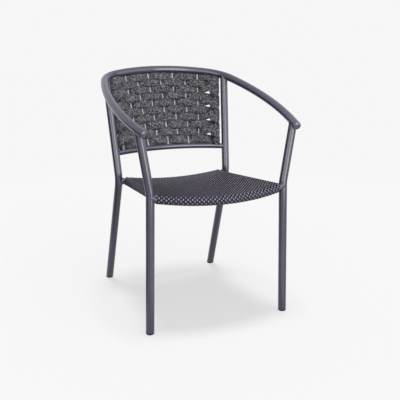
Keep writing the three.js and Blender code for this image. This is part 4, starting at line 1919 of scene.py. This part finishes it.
@dataclass
class WovenSeat:
    """Light strands front to back and dark ones side to side, rolled round the ring and interlaced.

    Places on the seat are counted in strands: along x from the middle warp strand, along y from the top
    of the front roll to the top of the rear one. Past the ring the count goes on round the tube.
    """

    lines: ChairLines
    finishes: Finishes
    tree: bpy.types.NodeTree
    pitch: float = 0.0066
    layer: float = 0.0032
    clearance: float = 0.0003
    stop_from_leg: float = 0.0095
    rows: int = 61
    wrap_degrees: float = 215
    strand_width_share: float = 0.9
    strand_thickness: float = 0.0016
    crown_share: float = 0.62
    weft_stand: float = 0.00032
    strand_sides: int = 6
    samples_per_pitch: int = 3
    end_margin: float = 0.001
    lip_share: float = 0.35
    roll_start: float = 0.02
    guide_steps: int = 26
    guide_spans: int = 64

    @property
    def radius(self) -> float:
        """Distance of the strands' middle layer from the ring's axis."""
        return self.lines.seat_tube / 2 + self.clearance + self.layer / 2

    @property
    def wrap(self) -> float:
        """Strands that fit round a tube from its top to where the wrap ends."""
        return math.radians(self.wrap_degrees) * self.radius / self.pitch

    @property
    def side_count(self) -> float:
        """Count of warp strands from the middle to the side tube's axis."""
        return self.lines.side_x[0] / self.pitch

    def rim_frame(self, bar: Bar, x: float, outward: float) -> tuple[np.ndarray, np.ndarray, np.ndarray]:
        """Axis point, up and outward directions square to a cross tube.

        Args:
            bar: The cross tube.
            x: Place across.
            outward: Sign of the outward direction along Y.

        Returns:
            The three vectors.
        """
        nudge = 0.002
        tangent = unit(bar.point(x + nudge) - bar.point(x - nudge))
        up = unit(UP - tangent * (UP @ tangent))
        return bar.point(x), up, np.cross(tangent, up) * -outward

    def rolled(self, axis: np.ndarray, up: np.ndarray, out: np.ndarray, count: float) -> np.ndarray:
        """A point of the roll round a tube.

        Args:
            axis: The tube's axis there.
            up: Unit direction to the roll's top.
            out: Unit direction outwards.
            count: Count of strands past the top.

        Returns:
            The point.
        """
        turn = count * self.pitch / self.radius
        return axis + self.radius * (up * math.cos(turn) + out * math.sin(turn))

    def guide_point(self, i: float, j: float) -> np.ndarray:
        """The middle layer at a lattice place.

        Args:
            i: Count of warp strands from the middle.
            j: Count of weft strands from the front roll's top.

        Returns:
            The point.
        """
        lines = self.lines
        front_x, rear_x = lines.side_x
        inner = max(-1.0, min(1.0, i / self.side_count))
        beyond = abs(i) - self.side_count
        side = math.copysign(1.0, i)
        if j < 0 or j > self.rows:
            ends = (lines.front_bar, front_x, -1.0), (lines.rear_bar, rear_x, 1.0)
            bar, edge_x, outward = ends[0] if j < 0 else ends[1]
            x = inner * edge_x
            if beyond > 0:
                x += side * min(beyond * self.pitch, self.stop_x(bar) - edge_x)
            axis, up, out = self.rim_frame(bar, x, outward)
            return self.rolled(axis, up, out, -j if j < 0 else j - self.rows)
        share = j / self.rows
        front_top = lines.front_bar.point(inner * front_x)
        rear_top = lines.rear_bar.point(inner * rear_x)
        axis = front_top + (rear_top - front_top) * share
        if beyond <= 0:
            return axis + UP * self.radius
        run = lines.side_tube[1] - lines.side_tube[0]
        tangent = unit(run * np.array([side, 1.0, 1.0]))
        out = unit(np.cross(tangent, UP)) * side
        return self.rolled(axis, np.cross(out, tangent) * side, out, beyond)

    def stop_x(self, bar: Bar) -> float:
        """How far out the strands run on a cross tube before the leg."""
        return bar.half - self.lines.frame_tube / 2 - self.stop_from_leg + self.pitch

    @cached_property
    def guide(self) -> tuple[bpy.types.Mesh, np.ndarray, np.ndarray]:
        """The middle layer as a grid, with the lattice as its UV map.

        Returns:
            The mesh, the lattice's low corner and its span.
        """
        reach_i, low_j, high_j = self.side_count + self.wrap, -self.wrap, self.rows + self.wrap
        edge, steps = self.side_count, self.guide_steps
        columns = np.concatenate([
            np.linspace(-reach_i, -edge, steps + 1)[:-1],
            np.linspace(-edge, edge, self.guide_spans + 1)[:-1],
            np.linspace(edge, reach_i, steps + 1),
        ])
        rows = np.concatenate([
            np.linspace(low_j, -self.roll_start, steps + 1),
            np.linspace(0, self.rows, self.guide_spans + 1),
            np.linspace(self.rows + self.roll_start, high_j, steps + 1),
        ])
        points = np.array([[self.guide_point(i, j) for i in columns] for j in rows])
        points = self.clear_of_legs(points.reshape(-1, 3))
        mesh = bpy.data.meshes.new("seat_guide")
        mesh.from_pydata(points.tolist(), [], grid_faces(len(rows), len(columns)))
        low = np.array([-reach_i, low_j, 0.0])
        span = np.array([2 * reach_i, high_j - low_j, 1.0])
        lattice = np.array([[(i, j, 0.0) for i in columns] for j in rows]).reshape(-1, 3)
        flat = ((lattice - low) / span)[:, :2]
        layer = mesh.uv_layers.new(name="UVMap")
        corners = np.array([loop.vertex_index for loop in mesh.loops])
        layer.data.foreach_set("uv", flat[corners].astype(np.float32).ravel())
        mesh.shade_smooth()
        return mesh, low, span

    def clear_of_legs(self, points: np.ndarray) -> np.ndarray:
        """Presses the layer in where it would run into a leg.

        Args:
            points: The layer's points, one a row.

        Returns:
            The points, moved where they have to be.
        """
        room = self.lines.frame_tube / 2 + self.layer / 2 + self.clearance
        every = np.arange(len(points))
        for left in (self.lines.front_leg, self.lines.rear_leg):
            for side in Side:
                away = off_axis(points, side.of(left))
                gaps = np.linalg.norm(away, axis=-1)
                nearest = gaps.argmin(1)
                gap, away = gaps[every, nearest], away[every, nearest]
                points = points + np.maximum(room - gap, 0)[:, None] * unit(away)
        return points

    def finish(self, family: Family) -> bpy.types.Material:
        """The strands' finish, by the way that they run."""
        return self.finishes.light_strand if family is Family.WARP else self.finishes.dark_strand

    def strands(self, family: Family, first: int, last: int, run: tuple[float, float]) -> Any:
        """Lays a set of strands.

        Args:
            family: Which way they run.
            first: Lattice number of the first strand.
            last: Lattice number of the last.
            run: Where they start and end, in crossings.

        Returns:
            One object with all of them.
        """
        mesh, low, span = self.guide
        warp = family is Family.WARP
        values = {
            "Lanes": last - first + 1, "First Lane": float(first),
            "Run From": run[0], "Run To": run[1],
            "Samples": round((run[1] - run[0]) * self.samples_per_pitch) + 1,
            "Side To Side": not warp,
            "Lattice Low": low.tolist(), "Lattice Span": span.tolist(),
            "Half Width": self.pitch * self.strand_width_share / 2,
            "Half Depth": self.strand_thickness / 2,
            "Lift": self.strand_thickness / 2, "Pitch": self.pitch,
            "Stand": -self.weft_stand if warp else self.weft_stand,
            "Crown Share": self.crown_share, "Sides": self.strand_sides, "Material": self.finish(family),
        }
        return grown(f"strands_{family.name}_{first}_{run[0]:.0f}", mesh.copy(), self.tree, values)

    def build(self) -> None:
        """Weaves the seat in two pieces, one for each way of the strands."""
        near = self.end_margin
        wrap, edge = self.wrap - near, self.side_count
        beyond = self.stop_x(self.lines.front_bar) - self.lines.side_x[0]
        last_lip = math.floor(edge + beyond / self.pitch) - 1
        last_side, last_roll = math.floor(edge + wrap), math.floor(wrap)
        lip = last_lip + self.lip_share
        front, rear = -wrap, self.rows + wrap
        inner = (near, self.rows - near)
        sets = {
            Family.WARP: [
                (-last_lip, last_lip - 1, (front, rear)),
                (-last_lip - 1, -last_lip - 1, (front, inner[1])),
                (last_lip, last_lip + 1, (inner[0], rear)),
                (last_lip + 2, last_side, inner),
                (-last_side, -last_lip - 2, inner),
            ],
            Family.WEFT: [
                (0, self.rows, (-edge - wrap, edge + wrap)),
                (-last_roll, -1, (-lip - 1, lip - 1)),
                (self.rows + 1, self.rows + last_roll, (-lip, lip + 1)),
            ],
        }
        for family, runs in sets.items():
            parts = [self.strands(family, *run) for run in runs]
            strands = joined(f"seat_{family.name.lower()}_strands", parts)
            dress(strands, self.finish(family), ("seat_weave",))


# Studio


def stage_piece(name: str, points: np.ndarray, faces: list[list[int]]) -> tuple[Any, NodeBench]:
    """Makes a piece of the studio.

    Args:
        name: Name of the piece and of its material.
        points: Corners, one a row.
        faces: Corner numbers of each face.

    Returns:
        The object, and a bench for its empty material.
    """
    mesh = bpy.data.meshes.new(name)
    mesh.from_pydata(points.tolist(), [], faces)
    material, bench = bare_material(name)
    mesh.materials.append(material)
    return in_scene(name, mesh), bench


@dataclass(frozen=True)
class Card:
    """A card or a floor board of the studio that only reflections show.

    Angles are in degrees seen from the chair, azimuth from the camera towards its right.
    The radius goes with the elevation, and differs at both ends on a board that lies on the floor.
    """

    name: str
    azimuths: tuple[float, float]
    elevations: tuple[float, float]
    radii: tuple[float, float]
    glow: float
    steps: int = 24

    def build(self, facing: float) -> None:
        """Hangs the card.

        Args:
            facing: Angle of the direction to the camera about Z, in radians.
        """
        count = self.steps + 1
        turns = facing + np.radians(np.linspace(*self.azimuths, count))
        rises = np.radians(np.linspace(*self.elevations, count))
        radii = np.linspace(*self.radii, count)
        points = np.array([
            [level * math.cos(turn), level * math.sin(turn), height]
            for level, height in zip(radii * np.cos(rises), radii * np.sin(rises)) for turn in turns
        ])
        card, bench = stage_piece(self.name, points, grid_faces(count, count))
        glow = bench.add("ShaderNodeEmission", {"Color": (1, 1, 1, 1), "Strength": self.glow})
        bench.add("ShaderNodeOutputMaterial", {"Surface": glow.outputs[0]})
        card.visible_camera = card.visible_diffuse = card.visible_shadow = False


@dataclass
class Studio:
    """Pale floor, soft light and the photograph's camera."""

    eye: tuple[float, float, float] = (-0.8204, -1.9903, 0.8698)
    heading: float = math.radians(-23.367)
    dip: float = math.radians(13.74)
    focal_px: float = 654.6
    sensor: float = 36.0
    backdrop: Colour = tone(246, 246, 246)
    floor_bounce: float = 0.55
    floor_glow_share: float = 0.61
    floor_radius: float = 14.0
    floor_sides: int = 96
    fade_from: float = 1.1
    fade_to: float = 2.6
    surround: float = 0.28
    frontal: float = 0.9
    frontal_height: float = math.radians(22)
    frontal_turn: float = math.radians(32)
    sun: float = 1.72
    sun_spread: float = math.radians(15)
    cards: tuple[Card, ...] = (     # name, azimuths, elevations, radii and glow
        Card("left_flag", (-112, -57), (0, 34), (1.2, 1.2), 0.06),
        Card("left_board", (-88, -48), (0.3, 0.1), (0.36, 1.19), 0.15),
        Card("left_card", (-52, -18), (2, 36), (6.0, 6.0), 3.6),
        Card("front_board", (-50, 2), (0.3, 0.1), (0.5, 1.6), 1.0),
        Card("front_card", (-18, 16), (4, 53), (3.0, 4.2), 3.0),
        Card("front_strip", (-22, -7), (0, 12), (2.0, 2.0), 2.6),
        Card("right_board", (2, 58), (0.3, 0.1), (0.4, 1.6), 1.5),
        Card("right_card", (16, 50), (0, 50), (2.0, 4.0), 6.0),
        Card("right_wing", (52, 100), (4, 58), (3.0, 3.0), 2.4),
        Card("ceiling", (-20, 110), (58, 88), (7.0, 7.0), 1.4),
    )

    @property
    def facing(self) -> float:
        """Angle of the direction from the chair to the camera about Z."""
        return math.atan2(self.eye[1], self.eye[0])

    def build(self) -> None:
        """Sets the camera, the floor, the lamp, the cards and the world."""
        scene = bpy.context.scene
        scene.view_settings.view_transform = "Standard"
        self.camera(scene)
        self.floor()
        self.lamp()
        for card in self.cards:
            card.build(self.facing)
        self.world(scene)

    def camera(self, scene: bpy.types.Scene) -> None:
        """Places the camera that was fitted to the photograph.

        Args:
            scene: The scene.
        """
        data = bpy.data.cameras.new("camera")
        data.sensor_width = self.sensor
        data.lens = self.focal_px * self.sensor / PHOTO_SIDE
        camera = in_scene("camera", data)
        camera.location = self.eye
        camera.rotation_euler = (math.pi / 2 - self.dip, 0.0, self.heading)
        scene.camera = camera

    def floor(self) -> None:
        """Lays a round floor that takes the shadow near the chair and fades into the backdrop."""
        points = spokes(self.floor_sides, ACROSS, AWAY) * self.floor_radius
        floor, bench = stage_piece("floor", points, [list(range(len(points)))])
        seen = bench.seen()
        bright = bench.ranged(seen, 0.0, 1.0, self.floor_bounce, 1.0)
        diffuse = bench.add("ShaderNodeBsdfDiffuse", {"Color": bench.scaled(self.backdrop[:3], bright)})
        glow = bench.add("ShaderNodeEmission", {"Color": self.backdrop, "Strength": 1.0})
        away = bench.vector("LENGTH", bench.add("ShaderNodeTexCoord").outputs["Object"])
        faded = bench.ranged(away, self.fade_from, self.fade_to, 0.0, 1.0)
        share = bench.times(bench.math("MAXIMUM", faded, self.floor_glow_share), seen)
        mix = bench.add("ShaderNodeMixShader", {0: share, 1: diffuse.outputs[0], 2: glow.outputs[0]})
        bench.add("ShaderNodeOutputMaterial", {"Surface": mix.outputs[0]})

    def lamp(self) -> None:
        """Hangs one wide lamp overhead, far off, which lights the floor evenly."""
        data = bpy.data.lights.new("overhead", "SUN")
        data.energy = self.sun
        data.angle = self.sun_spread
        lamp = in_scene("overhead", data)
        lamp.visible_glossy = False

    def world(self, scene: bpy.types.Scene) -> None:
        """Sets the surround: light from the camera's right, and the backdrop where it is seen or mirrored.

        Args:
            scene: The scene.
        """
        world = bpy.data.worlds.new("studio")
        world.use_nodes = True
        scene.world = world
        bench = NodeBench(world.node_tree)
        level = math.cos(self.frontal_height)
        turn = self.facing + self.frontal_turn
        front = (level * math.cos(turn), level * math.sin(turn), math.sin(self.frontal_height))
        way = bench.add("ShaderNodeTexCoord").outputs["Generated"]
        ahead = bench.math("MAXIMUM", bench.vector("DOT_PRODUCT", way, front), 0.0)
        lobe = bench.times(bench.times(ahead, ahead), self.frontal)
        strength = bench.plus(lobe, self.surround)
        light = bench.add("ShaderNodeBackground", {"Color": (1, 1, 1, 1), "Strength": strength})
        shown = bench.add("ShaderNodeBackground", {"Color": self.backdrop, "Strength": 1.0})
        mix = bench.add("ShaderNodeMixShader", {0: bench.seen(), 1: light.outputs[0], 2: shown.outputs[0]})
        bench.add("ShaderNodeOutputWorld", {"Surface": mix.outputs[0]})


def main() -> None:
    """Builds the whole chair and its studio."""
    logging.basicConfig(level=logging.INFO, format="%(message)s")
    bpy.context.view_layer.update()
    lines = chair_lines()
    finishes = all_finishes()
    section_tree()
    beads = WeldBeads(finishes.frame, bead_tree())

    TopRail(lines, finishes).build()
    legs = Legs(lines, finishes)
    legs.build()
    ring = SeatRing(lines, finishes)
    ring.build()
    back = BackFrame(lines, finishes)
    back.build()
    beads.lay("weld_beads_legs", legs.seams, beads.leg_radius)
    beads.lay("weld_beads_seat_ring", ring.cross_seams + ring.side_seams, beads.ring_radius)
    beads.lay("weld_beads_crossbar", back.bar_seams + back.post_seams, beads.bar_radius)
    beads.lay("weld_beads_rods", back.rod_seams, beads.rod_radius)
    LacedStrap(back, finishes.strap, ribbon_tree()).build()
    WovenSeat(lines, finishes, strand_tree()).build()
    Studio().build()


if __name__ == "__main__":
    main()
